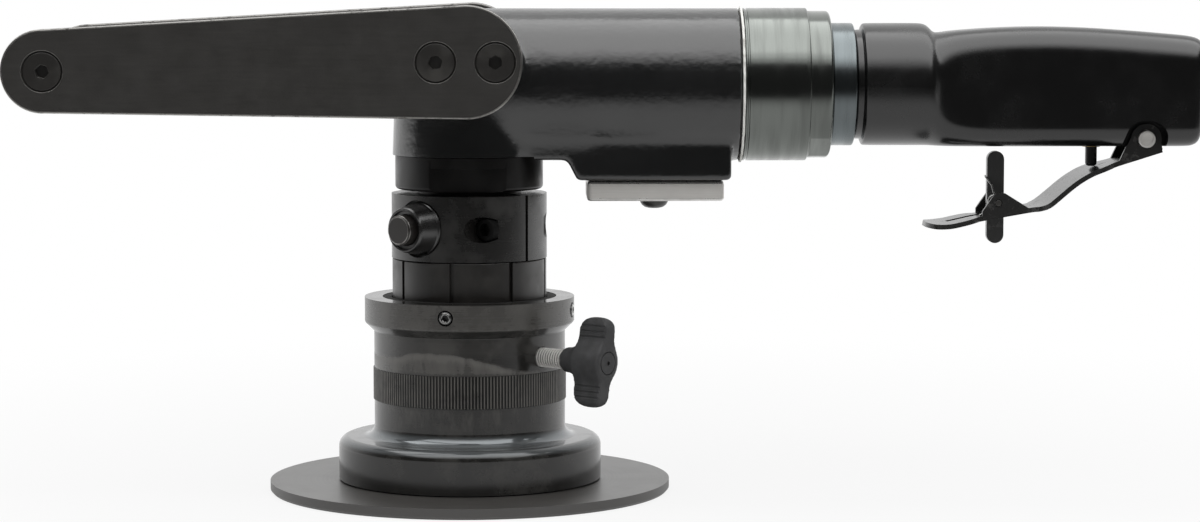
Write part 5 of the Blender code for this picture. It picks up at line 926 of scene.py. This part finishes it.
def spindle_lock():
    """The tapered boss with its dished front, and the push button in it."""
    boss = lathed("lock_boss", [
        (0.0033, 0.0303, 0), (0.0112, 0.0303, 0.0002), (0.0110, 0.0312, 0.0003),
        (0.0106, 0.0316, 0.0003), (0.0092, 0.0392, 0.0006), (0.0087, 0.0402, 0.0004),
        (0.0079, 0.0400, 0.0002), (0.0077, 0.0388, 0.0002), (0.0064, 0.0388, 0.0001),
        (0.0064, 0.0318, 0), (0.0033, 0.0318, 0),
    ], LOCK_LINE, MEDIUM)
    fit(boss, BOSS_BLACK, "black_oxide_steel", "head", "spindle_lock_boss")
    button = lathed("lock_button", [
        (0, 0.0120, 0), (0.0030, 0.0120, 0.0008), (0.0030, 0.0365, 0), (0.0061, 0.0365, 0),
        (0.0061, 0.0430, 0), (0.0054, 0.0437, 0), (0, 0.0437, 0),
    ], LOCK_LINE, FINE)
    soften(button, 0.00018, 2, 35, rubbed=True)
    fit(button, BUTTON_BROWN, "black_oxide_steel", "lock_button", "spindle_lock_button", edge=EDGE_HIGHLIGHT_FAINT)


def bearing_ring():
    """The ring under the neck with its two wrench flats."""
    ring = lathed("bearing_ring", [
        (0.0150, 0.1068, 0), (0.0212, 0.1068, 0.0004), (0.0212, 0.1248, 0),
        (0.03045, 0.1248, 0.0016), (0.03045, 0.1386, 0), (0.0260, 0.1386, 0),
        (0.0260, 0.1471, 0.0003), (0.0213, 0.1471, 0), (0.0213, 0.1263, 0), (0.0150, 0.1263, 0),
    ], upright(), WIDE)
    carve(
        ring,
        *both_sides(0.04, 0.0263, 0.04, 0.1228, 0.1344),
        rod(0.0033, 0.0100, 0.0240, LOCK_LINE),
    )
    soften(ring, 0.00025, 2, 50, rubbed=True)
    fit(ring, BEARING_BLACK, "black_oxide_steel", "head", "bearing_housing", edge=EDGE_HIGHLIGHT_FAINT)


# Gear housing and exhaust

PLATE_FACE = 0.0695
PLATE_BACK = 0.0592
PLATE_HEIGHT = 0.1784
FACE_SCREWS = ((-0.0117, PLATE_HEIGHT), (0.0117, PLATE_HEIGHT))


def gear_case():
    """The casting: barrel with a ball end, neck, plate bosses and exhaust lump."""
    radius = 0.0313
    ball = arc((0, 0), radius, -math.pi / 2, 0, degrees(6))
    case = turned("gear_case", [(0, -radius), *ball[1:], (radius, 0.1110), (0, 0.1110)], along(), MEDIUM)
    cone = [(0, 0.1360), (0.0315, 0.1360), (0.0315, 0.1389), (0.0304, AXIS), (0, AXIS)]
    neck = turned("neck", cone, upright(), MEDIUM)
    boss = belt(FACE_SCREWS[1], 0.0105, FACE_SCREWS[0], 0.0105)
    bosses = pressed("bosses", boss, 0.1216, front(0.0608))
    lump = pressed("lump", rounded([
        (0.0444, 0.1291, 0.0018), (0.1072, 0.1291, 0.0018), (0.1072, 0.1560, 0),
        (0.0160, 0.1560, 0), (0.0160, 0.1374, 0), (0.0402, 0.1374, 0.0030),
    ]), 0.0440, front(0.0220))
    soften(lump, 0.0014, 3, 60)
    weld(case, neck, bosses, lump)
    cast(case, 0.0009, 7)
    for passes, low, high, left, right in (
        (150, 0.1395, 0.1680, 0, 0.0520), (40, 0.1400, 0.1530, 0.0200, 0.1060),
    ):
        relax(case, passes, lambda at: (
            low < at.z < high and left < at.x - SPINDLE < right and abs(at.y) > 0.0060
        ))
    carve(
        case,
        rod(0.0345, 0.1200, 0.1389, upright(), ROUND),
        *both_sides(0.03, PLATE_BACK, 0.08, 0.16, 0.20),
        block(0.1108, 0.1300, -0.05, 0.05, 0.12, 0.21),
    )
    fit(case, CASTING_BLACK, "black_paint", "head", "gear_housing", angle=50, weighted=False)


def exhaust_cover():
    """The pressed stainless cover with its slots, and the button-head screw."""
    low, corner, wall = 0.1206, 0.0022, 0.0010
    left, right, half = 0.0484, 0.1043, 0.0190
    shell = rectangle(left, right, -half, half, corner)
    cover = pressed("exhaust_cover", shell, 0.0082, upright(0, 0, low))
    soften(cover, 0.0011, 4, 60, rubbed=True)
    hollow = rectangle(left + wall, right - wall, wall - half, half - wall, corner - wall)
    inside = pressed("inside", hollow, 0.0100, upright(0, 0, low + wall))
    middle_x = (left + right) / 2
    tools = [inside, rod(0.0033, low - OVER, low + OVER, upright(middle_x))]
    for side in (-1, 1):
        for row in (-1, 0, 1):
            x = middle_x + side * (right - left) / 4
            slot = belt((x + 0.0055, row * 0.0042), 0.0008, (x - 0.0055, row * 0.0042), 0.0008, degrees(20))
            tools.append(pressed("slot", slot, 0.0050, upright(0, 0, low - OVER)))
    carve(cover, *tools)
    fit(cover, COVER_STEEL, "stainless_sheet", "head", "muffler_cover", edge=COVER_EDGE)
    place = upright(middle_x, 0, low - GAP) @ Matrix.Rotation(math.pi, 4, "X")
    screw = turned("cover_screw", [
        (0, 0.0037), (0.0022, 0.0037), (0.0038, 0.0033), (0.0050, 0.0024), (0.0057, 0.0013),
        (0.0060, 0), (0.0030, 0), (0.0030, -0.0160), (0, -0.0160),
    ], place, FINE)
    carve(screw, socket(0.0040, 0.0040, lifted(place, 0.0018)))
    fit(screw, SCREW_BLACK, "black_oxide_steel", "head", "muffler_screw")


# Side plates, cross handle and their screws

BIG_END = (0.0, PLATE_HEIGHT)
SMALL_END = (-0.1649, 0.1750)


def front_handle():
    """Two side plates with a thin chamfer carrying a painted highlight, the bar between them, six screws.

    Facing back, local Y points down, so the rear plate's outline is turned over.
    """
    handle = bar("cross_bar", 0.0150, PLATE_BACK, 0.0010, front(0, *SMALL_END), MEDIUM)
    hole = [(0, OVER), (0.0081, OVER), (0.0081, -0.0006), (0.0043, -0.0044), (0.0043, -0.0220), (0, -0.0220)]
    for side, facing, sign in (("front", front, -1), ("rear", back, 1)):
        shape = [(x, -sign * z) for x, z in belt(BIG_END, 0.0224, SMALL_END, 0.0164, degrees(4))]
        plate = pressed(f"plate_{side}", shape, -0.0100, facing(sign * PLATE_FACE))
        soften(plate, 0.0009, 2, 60, rubbed=True)
        for number, (x, z) in enumerate((*FACE_SCREWS, SMALL_END)):
            seat = facing(sign * PLATE_FACE, x, z)
            carve(plate, turned("seat", hole, seat, FINE))
            if number == 2:
                carve(handle, rod(0.0043, -0.0223, 0, seat))
            screw = lathed(f"plate_bolt_{side}_{number + 1}", [
                (0, -0.0002, 0), (0.0074, -0.0002, 0.0003), (0.0075, -0.0007, 0.0001),
                (0.0040, -0.0046, 0), (0.0040, -0.0220, 0), (0, -0.0220, 0),
            ], seat, FINE)
            twist = Matrix.Rotation(degrees(11 + 17 * number), 4, "Z")
            carve(screw, socket(0.0050, 0.0050, lifted(seat @ twist, -0.0026)))
            soften(screw, 0.00018, 2, 50, rubbed=True)
            name = f"plate_screw_{side}_{number + 1}"
            fit(screw, SCREW_BLACK, "black_oxide_steel", "head", name, edge=EDGE_HIGHLIGHT_FAINT)
        soften(plate, 0.0003, 2, 50, rubbed=True)
        fit(plate, PLATE_BLACK, "black_anodised", "head", f"side_plate_{side}", edge=EDGE_HIGHLIGHT)
    fit(handle, PLATE_BLACK, "black_anodised", "head", "cross_handle")


# Gasket, motor ring and collar

def motor_joint():
    """The torn paper gasket, the steel ring with its milled flats, and the collar."""
    random.seed(7)
    teeth = 220
    jitter = [random.uniform(-1, 1) for _ in range(teeth)]
    for _ in range(2):
        jitter = [(jitter[i - 1] + 2 * jitter[i] + jitter[(i + 1) % teeth]) / 4 for i in range(teeth)]
    rim = []
    for number, move in enumerate(jitter):
        angle = 2 * math.pi * number / teeth
        radius = 0.0317 + 0.0009 * move + 0.00025 * math.sin(angle * 5 + 1)
        rim.append((radius * math.cos(angle), radius * math.sin(angle)))
    gasket = pressed("gasket", rim, 0.0009, along(0.1113))
    carve(gasket, rod(0.0263, -OVER, 0.1200, along(), ROUND))
    fit(gasket, GASKET_PAPER, "gasket_white", "head", "housing_gasket", angle=60, weighted=False)

    ring = lathed("steel_ring", [
        (0.0163, 0.1069, 0), (0.0260, 0.1069, 0), (0.0260, 0.1125, 0), (0.0313, 0.1125, 0.0003),
        (0.0314, 0.1133, 0.0002), (0.0309, 0.1135, 0.0001), (0.0309, 0.1140, 0.0001),
        (0.0314, 0.1142, 0.0002), (0.0314, 0.1387, 0.0005), (0.0302, 0.1389, 0.0002),
        (0.0302, 0.1481, 0.0016), (0.0163, 0.1481, 0),
    ], along(), 192)
    for side in (0, 180):
        tilt = along(0.1395) @ Matrix.Rotation(degrees(side - 30), 4, "Z")
        carve(ring, pressed("flat", rectangle(0.0292, 0.06, -0.03, 0.03), 0.0120, tilt))
    fit(ring, RING_STEEL, "bright_steel", "head", "motor_ring", angle=25)

    collar_ring = lathed("lock_collar", [
        (0.0163, 0.1484, 0), (0.0252, 0.1484, 0.0005), (0.0252, 0.1580, 0.0007),
        (0.0163, 0.1580, 0),
    ], along())
    fit(collar_ring, COLLAR_STEEL, "bright_steel", "head", "handle_collar")


# Rear grip

def grip_section(x, top, low, half, top_round, low_round, lean=0.0):
    """One cross-section of the grip, leaning with its height."""
    corners = (
        (half - low_round, low + low_round, low_round, -90),
        (half - top_round, top - top_round, top_round, 0),
        (top_round - half, top - top_round, top_round, 90),
        (low_round - half, low + low_round, low_round, 180),
    )
    loop = []
    for y, z, radius, start in corners:
        for step in range(9):
            angle = degrees(start + 90 * step / 8)
            height = z + radius * math.sin(angle)
            shift = lean * (height - top) / (top - low)
            loop.append((SPINDLE + x + shift, y + radius * math.cos(angle), height))
    return loop


def rear_grip():
    """The moulded grip: round barrel, pinched shoulder, flat-sided hand grip."""
    neck, barrel, hand = 0.0225, 0.0252, 0.0190
    under, crown_round, under_round = 0.1423, 0.0120, 0.0090
    almost = 0.995

    def round_section(x, radius):
        """A section that is almost a circle."""
        return grip_section(x, AXIS + radius, AXIS - radius, radius, radius * almost, radius * almost)

    def hand_section(x, crown, share):
        """A section that is round at share 1 and a rounded box at share 0."""
        half = hand + (barrel - hand) * share
        top_round = crown_round + (barrel * almost - crown_round) * share
        low_round = under_round + (barrel * almost - under_round) * share
        low = under + (AXIS - barrel - under) * share
        return grip_section(x, crown, low, half, min(top_round, half * almost), min(low_round, half * almost))

    loops = [round_section(x, radius) for x, radius in (
        (0.1584, neck), (0.1610, neck), (0.1613, neck + 0.0002), (0.1616, barrel - 0.0010),
        (0.1620, barrel - 0.0002), (0.1630, barrel), (0.1750, barrel), (0.1830, barrel),
    )]
    loops += [hand_section(x, crown, share) for x, crown, share in (
        (0.1862, 0.1927, 0.995), (0.1880, 0.1922, 0.97), (0.1893, 0.1912, 0.90),
        (0.1903, 0.1899, 0.76), (0.1914, 0.1891, 0.58), (0.1930, 0.1889, 0.40),
        (0.1955, 0.1892, 0.24), (0.1990, 0.1897, 0.12), (0.2050, 0.1902, 0.04),
        (0.2150, 0.1909, 0.00), (0.2347, 0.1917, 0.00), (0.2600, 0.1908, 0.00),
        (0.2850, 0.1887, 0.00), (0.2950, 0.1879, 0.00),
    )]
    rim = ((0.2981, 0.0003), (0.2999, 0.0010), (0.3009, 0.0021), (0.3014, 0.0034), (0.3017, 0.0050))
    for x, inset in rim:
        sizes = (0.1875 - inset, under + inset, hand - inset, crown_round - inset, under_round - inset)
        loops.append(grip_section(x, *sizes, 0.0013))
    grip = skinned("grip", loops)
    edit(grip)
    bpy.ops.mesh.select_mode(type="FACE")
    bpy.ops.mesh.select_all(action="DESELECT")
    bpy.ops.mesh.select_face_by_sides(number=4, type="GREATER")
    bpy.ops.mesh.inset(thickness=0.0004)
    leave()
    apply(grip, "SUBSURF", levels=2, render_levels=2)
    weld(grip, rod(0.0160, 0.1238, 0.1600, along(), FINE))

    x, z = LEVER_PIVOT
    pocket = rounded([
        (x - 0.0105, 0.1380, 0), (x + 0.0078, 0.1380, 0), (x + 0.0078, z, 0.0001),
        (x + 0.0078, z + 0.0078, 0.0077), (x - 0.0078, z + 0.0078, 0.0072),
        (x - 0.0105, z - 0.0010, 0.0020),
    ], degrees(6))
    carve(
        grip,
        rod(0.0098, 0.2842, 0.3040, along(0, 0, INLET_HEIGHT), FINE),
        rod(0.0041, 0.1400, 0.1610, upright(VALVE_X), FINE),
        rod(0.0038, -0.0200, 0.0200, front(0, *LEVER_PIVOT)),
        block(0.2132, 0.2222, -0.0045, 0.0045, 0.1400, 0.1436),
        *[pressed("pocket", pocket, 0.0140, front(y)) for y in (-0.0090, 0.0230)],
    )
    fit(grip, GRIP_BLACK, "black_grip", "head", "grip_handle", angle=38, weighted=False)


def inlet_and_valve():
    """The inlet bushing with its thread, the brass guide and the throttle stem."""
    profile = [(0.0095, 0.2845), (0.0095, 0.3002), (0.0092, 0.3005), (0.0066, 0.3005)]
    x = 0.2998
    while x > 0.2860:
        profile += [(0.0060, x), (0.0066, x - 0.0006)]
        x -= 0.0012
    profile.append((0.0066, 0.2845))
    bushing = turned("inlet", profile, along(0, 0, INLET_HEIGHT), FINE)
    fit(bushing, RING_STEEL, "bright_steel", "head", "inlet_bushing", angle=20)
    guide = lathed("valve_guide", [
        (0.0027, 0.1417, 0.0002), (0.0038, 0.1417, 0.0003), (0.0038, 0.1517, 0), (0.0027, 0.1517, 0),
    ], upright(VALVE_X), FINE)
    fit(guide, VALVE_BRASS, "brass", "head", "valve_bushing")
    tip, top = (corner.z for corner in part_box("valve_stem"))
    stem = lathed("throttle_stem", [
        (0, tip, 0), (0.0024, tip, 0.0014), (0.0024, top - 0.0020, 0),
        (0.0056, top - 0.0020, 0.0002), (0.0056, top, 0.0003), (0, top, 0),
    ], upright(VALVE_X), FINE)
    fit(stem, LEVER_BLACK, "black_oxide_steel", "valve", "valve_stem")


# Throttle lever and lock-off

LEVER_LINE = (
    (0.1880, 0.1090, 0.0030), (0.1884, 0.1089, 0.0068), (0.1897, 0.1087, 0.0112), (0.1920, 0.1085, 0.0146),
    (0.1950, 0.1086, 0.0166), (0.1985, 0.1090, 0.0175), (0.2030, 0.1100, 0.0175), (0.2065, 0.1108, 0.0163),
    (0.2090, 0.1113, 0.0135), (0.2111, 0.1116, 0.0113), (0.2200, 0.1132, 0.0113), (0.2315, 0.1152, 0.0113),
    (0.2345, 0.1158, 0.0145), (0.2383, 0.1174, 0.0175), (0.2429, 0.1211, 0.0175), (0.2469, 0.1245, 0.0175),
    (0.2509, 0.1275, 0.0175), (0.2557, 0.1303, 0.0175), (0.2605, 0.1321, 0.0165), (0.2640, 0.1332, 0.0135),
    (0.2668, 0.1341, 0.0113), (0.2760, 0.1370, 0.0113), (0.2852, 0.1399, 0.0113),
)


def throttle_lever():
    """The pressed lever: spoon, cranked strap, channel with ears, from one sheet."""
    sheet = 0.0020
    line = smooth_path(LEVER_LINE, 3)
    loops = []
    for i, (x, z, half) in enumerate(line):
        before, after = line[max(i - 1, 0)], line[min(i + 1, len(line) - 1)]
        slope = math.atan2(after[1] - before[1], after[0] - before[0])
        up = Vector((-math.sin(slope), 0, math.cos(slope))) * sheet
        low = Vector((SPINDLE + x, 0, z))
        side = Vector((0, half, 0))
        loops.append([low - side, low + side, low + side + up, low - side + up])
    lever = skinned("lever", loops)
    soften(lever, 0.0005, 3, 50)
    ear_end = arc(LEVER_PIVOT, 0.0064, degrees(-15), degrees(170), degrees(8))
    ear = [(0.2668, 0.1351), (0.2852, 0.1409), *ear_end]
    gusset = rounded([
        (0.2111, 0.1126, 0), (0.2315, 0.1162, 0), (0.2203, 0.1232, 0.0020),
        (0.2164, 0.1232, 0.0020), (0.2111, 0.1156, 0.0010),
    ], degrees(12))
    walls = [pressed("side", shape, sheet, front(y)) for y in (-0.0093, 0.0113) for shape in (ear, gusset)]
    weld(lever, *[soften(wall, 0.0003, 2, 60) for wall in walls])
    carve(
        lever,
        rod(0.0038, -0.0200, 0.0200, front(0, *LEVER_PIVOT), FINE),
        rod(0.0016, -0.0200, 0.0200, front(0, *TAB_PIVOT)),
        block(0.1975, 0.2235, -0.0026, 0.0026, 0.1080, 0.1190),
    )
    fit(lever, LEVER_BLACK, "black_oxide_steel", "lever", "throttle_lever", angle=40)
    half = 0.0126
    pin = bar("lever_pivot", 0.0035, half, 0, front(0, *LEVER_PIVOT), FINE)
    dish = [(0, -0.0004), (0.0024, -0.0002), (0.0026, 0.0010), (0, 0.0010)]
    for end in (front(-half, *LEVER_PIVOT), back(half, *LEVER_PIVOT)):
        carve(pin, turned("dish", dish, end, FINE))
    soften(pin, 0.0008, 3, 60, rubbed=True)
    fit(pin, PIN_END, "bright_steel", "head", "lever_pin", edge=COVER_EDGE)


def wire(name, points, radius):
    """A round wire through points on the tool, closed at both ends."""
    bpy.ops.curve.primitive_nurbs_path_add()
    piece = bpy.context.object
    piece.name = name
    piece.data.splines.clear()
    line = piece.data.splines.new("POLY")
    line.points.add(len(points) - 1)
    for point, (x, y, z) in zip(line.points, points):
        point.co = (SPINDLE + x, y, z, 1)
    piece.data.bevel_depth = radius
    piece.data.bevel_resolution = 3
    piece.data.use_fill_caps = True
    choose(piece)
    bpy.ops.object.convert(target="MESH")
    return bpy.context.object


def lock_off():
    """The lock-off tab, its small pin and its torsion spring, whose leg rides on the tab."""
    x, z = TAB_PIVOT
    shape = belt((0.1365, 0), 0.0035, (0.1053, 0), 0.0035, degrees(10))
    tab = pressed("lock_off_tab", [(x + side, height) for height, side in shape], 0.0040, front(0.0020))
    carve(tab, rod(0.0016, -0.01, 0.01, front(0, x, z)))
    soften(tab, 0.0004, 3, 50)
    fit(tab, TAB_BLACK, "black_oxide_steel", "lock_off", "lock_off_lever")
    pin = bar("lock_off_pivot", 0.0013, 0.0117, 0.0003, front(0, x, z), SMALL)
    fit(pin, SCREW_BLACK, "black_oxide_steel", "lever", "lock_off_pin")

    thickness, radius, turns = 0.0004, 0.0035, 3
    near, length = -0.0084, 0.0042
    first = degrees(200)
    last = first + 2 * math.pi * turns - degrees(95)
    count = turns * 24
    coil = [(x - 0.0075, near, 0.1138), (x - 0.0058, near, 0.1146)]
    for i in range(count + 1):
        angle = first + (last - first) * i / count
        coil.append((x + radius * math.cos(angle), near + length * i / count, z + radius * math.sin(angle)))
    edge = x - 0.0042
    leg = [coil[-1], (x - 0.00175, -0.0034, z + 0.0070), (edge, -0.0027, z + 0.0103), (edge, 0, z + 0.0107)]
    spring = wire("lock_off_coil", coil, thickness)
    fit(spring, PIN_STEEL, "bright_steel", "lever", "lock_off_spring", angle=60, weighted=False)
    fit(wire("lock_off_leg", leg, thickness), PIN_STEEL, "bright_steel", "lock_off", angle=60, weighted=False)


# Wing knob

def wing_knob():
    """The two-winged knob: a crowned hub, thin ribbed paddles and a ringed face."""
    place = radial(KNOB_AZIMUTH, KNOB_HEIGHT)
    tilted = place @ Matrix.Rotation(degrees(-9), 4, "Z")
    tip, half, waist = 0.0182, 0.0033, 0.0066
    quarter = [(waist, 0.0028, 0.0036), (half, 0.0088, 0.0050), (half, tip, 0.0028)]
    right = [(x, -z, fillet) for x, z, fillet in reversed(quarter)] + quarter
    left = [(-x, -z, fillet) for x, z, fillet in right]
    knob = pressed("knob", rounded(right + left), 0.0200, lifted(tilted, 0.0560))
    side_view = rounded([
        (0.0600, -tip, 0.0062), (0.0736, -tip, 0.0050), (0.0736, tip, 0.0050), (0.0600, tip, 0.0062),
    ])
    sideways = lifted(tilted @ Matrix.Rotation(-math.pi / 2, 4, "Y"), -0.0100)
    combine(knob, "INTERSECT", [pressed("side_view", side_view, 0.0200, sideways)])
    hub = lathed("hub", [
        (0, 0.0524, 0), (0.0050, 0.0524, 0.0006), (0.0053, 0.0560, 0.0030),
        (0.0071, 0.0602, 0.0020), (0.0071, 0.0739, 0.0012), (0, 0.0743, 0),
    ], place, FINE)
    weld(knob, hub)
    cast(knob, 0.00042, 10)
    tools = []
    for side in (-1, 1):
        for end in (-1, 1):
            for row in range(3):
                x, y = side * (half + 0.00015), end * (0.0100 + 0.0022 * row)
                tools.append(rod(0.00055, 0.0500, 0.0760, tilted @ Matrix.Translation((x, y, 0)), 12))
    face_ring = [(0.0044, 0.0736), (0.0047, 0.0736), (0.0050, 0.0750), (0.0041, 0.0750)]
    tools.append(turned("face_ring", face_ring, place, FINE))
    tools.append(rod(0.0009, 0.0734, 0.0750, place, 24))
    tools.append(rod(0.0043, 0.0500, 0.0647, place))
    carve(knob, *tools)
    fit(knob, KNOB_PLASTIC, "grey_plastic", "knob", "wing_knob", angle=40, weighted=False)


def knob_stud():
    """The knob's threaded stud."""
    turn = ((0.0040, 0), (0.0040, 0.0005), (0.0033, 0.0008), (0.0033, 0.0009))
    profile = [(0, 0.0324), (0.0032, 0.0324)]
    reach = 0.0332
    while reach < 0.0630:
        profile += [(radius, reach + step) for radius, step in turn]
        reach += 0.00125
    profile += [(0.0034, 0.0642), (0, 0.0642)]
    stud = turned("stud", profile, radial(KNOB_AZIMUTH, KNOB_HEIGHT), SMALL)
    fit(stud, THREAD_STEEL, "bright_steel", "knob_screw", "knob_stud", angle=20)


for build in (
    base_disc, adjuster, knurled_band, click_plungers, wiper, sleeve, collar, spindle_lock, bearing_ring,
    gear_case, exhaust_cover, front_handle, motor_joint, rear_grip, inlet_and_valve, throttle_lever,
    lock_off, wing_knob, knob_stud,
):
    build()

# The CAD nodes that stay as they are
KEPT = {
    SCREW_BLACK: ("base_screw_1", "base_screw_2", "base_screw_3", "guide_screw"),
    DISC_BLACK: ("cutter_head",),
    INSERT_GOLD: ("cutter_insert_1", "cutter_insert_2", "cutter_insert_3"),
    SPINDLE_STEEL: ("spindle", "crown_gear", "nose_bearing", "lower_bearing", "top_bearing", "guide_bearing"),
    RING_STEEL: ("motor_front_plate", "motor_cylinder", "motor_rear_plate", "rotor", "bevel_pinion"),
    PIN_STEEL: ("valve_spring",),
}
for finish, names in KEPT.items():
    for name in names:
        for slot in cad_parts[name].material_slots:
            slot.material = finish


# Floor, light and camera

def floor():
    """A pale floor just under the tool, with some real light and shadow near it."""
    bpy.ops.object.select_all(action="DESELECT")
    bpy.ops.mesh.primitive_plane_add(size=60, location=(0, 0, -0.0002))
    plane = bpy.context.object
    plane.name = "studio_floor"
    finish = Finish("floor_white", 0.9)
    finish.shader.inputs["Base Color"].default_value = (0.72, 0.72, 0.72, 1)
    away = finish.from_axis(finish.x, finish.y)
    seen, mirrored, through = finish.rays()
    looked_at = seen.most(mirrored).most(through)
    strength = seen.most(0.03 + 0.52 * finish.y.rise(-0.62, -0.20) + 0.45 * finish.y.rise(-0.10, 0.20))
    glow = finish.node("ShaderNodeEmission", values={"Color": (1, 1, 1, 1), "Strength": strength})
    share = looked_at * (0.86 + 0.14 * away.rise(0.12, 0.60))
    surface = Signal(finish, finish.shader.outputs[0])
    mixed = finish.node("ShaderNodeMixShader", values={0: share, 1: surface, 2: glow})
    finish.feed(finish.tree.nodes["Material Output"].inputs["Surface"], mixed)
    plane.data.materials.append(finish.material)


def studio_world():
    """White behind the tool and where the camera looks, dark on the camera's side."""
    world = bpy.data.worlds.new("studio")
    bpy.context.scene.world = world
    world.use_nodes = True
    sky = Nodes(world.node_tree)
    depth = sky.parts(sky.node("ShaderNodeTexCoord", output="Generated"), 1)[0]
    seen, mirrored, through = sky.rays()
    studio = 0.03 + 0.97 * depth.rise(-0.20, 0.85)
    looked_at = (mirrored.most(through) * studio).most(seen)
    others = (1.0 - mirrored.most(through).most(seen)) * 0.18
    backing = world.node_tree.nodes["Background"]
    backing.inputs["Color"].default_value = (1, 1, 1, 1)
    sky.feed(backing.inputs["Strength"], looked_at + others)


def lamps():
    """Soft lamps over the tool, the widest right above it and two nearer the viewer."""
    for name, depth, power, y in (
        ("overhead_softbox", 1.35, 19.5, -0.175),
        ("softbox_middle", 0.30, 2.9, -1.000),
        ("softbox_edge", 0.34, 1.6, -1.320),
    ):
        bpy.ops.object.select_all(action="DESELECT")
        bpy.ops.object.light_add(type="AREA", location=(0, y, 1.15))
        light = bpy.context.object
        light.name = name
        light.data.shape = "RECTANGLE"
        light.data.size = 2.4
        light.data.size_y = depth
        light.data.energy = power
        light.visible_camera = False


def camera():
    """The photograph's viewpoint: in front, a little above and right of the spindle."""
    tilt, pan = degrees(90 - 5.018), degrees(-1.194)
    bpy.ops.object.camera_add(location=(SPINDLE + 0.02615, -1.3380, 0.2120), rotation=(tilt, 0, pan))
    eye = bpy.context.object
    eye.data.sensor_width = 36
    eye.data.lens = 97.3
    eye.data.clip_start = 0.01
    eye.data.clip_end = 100
    bpy.context.scene.camera = eye


floor()
studio_world()
lamps()
camera()
bpy.context.scene.view_settings.view_transform = "Standard"
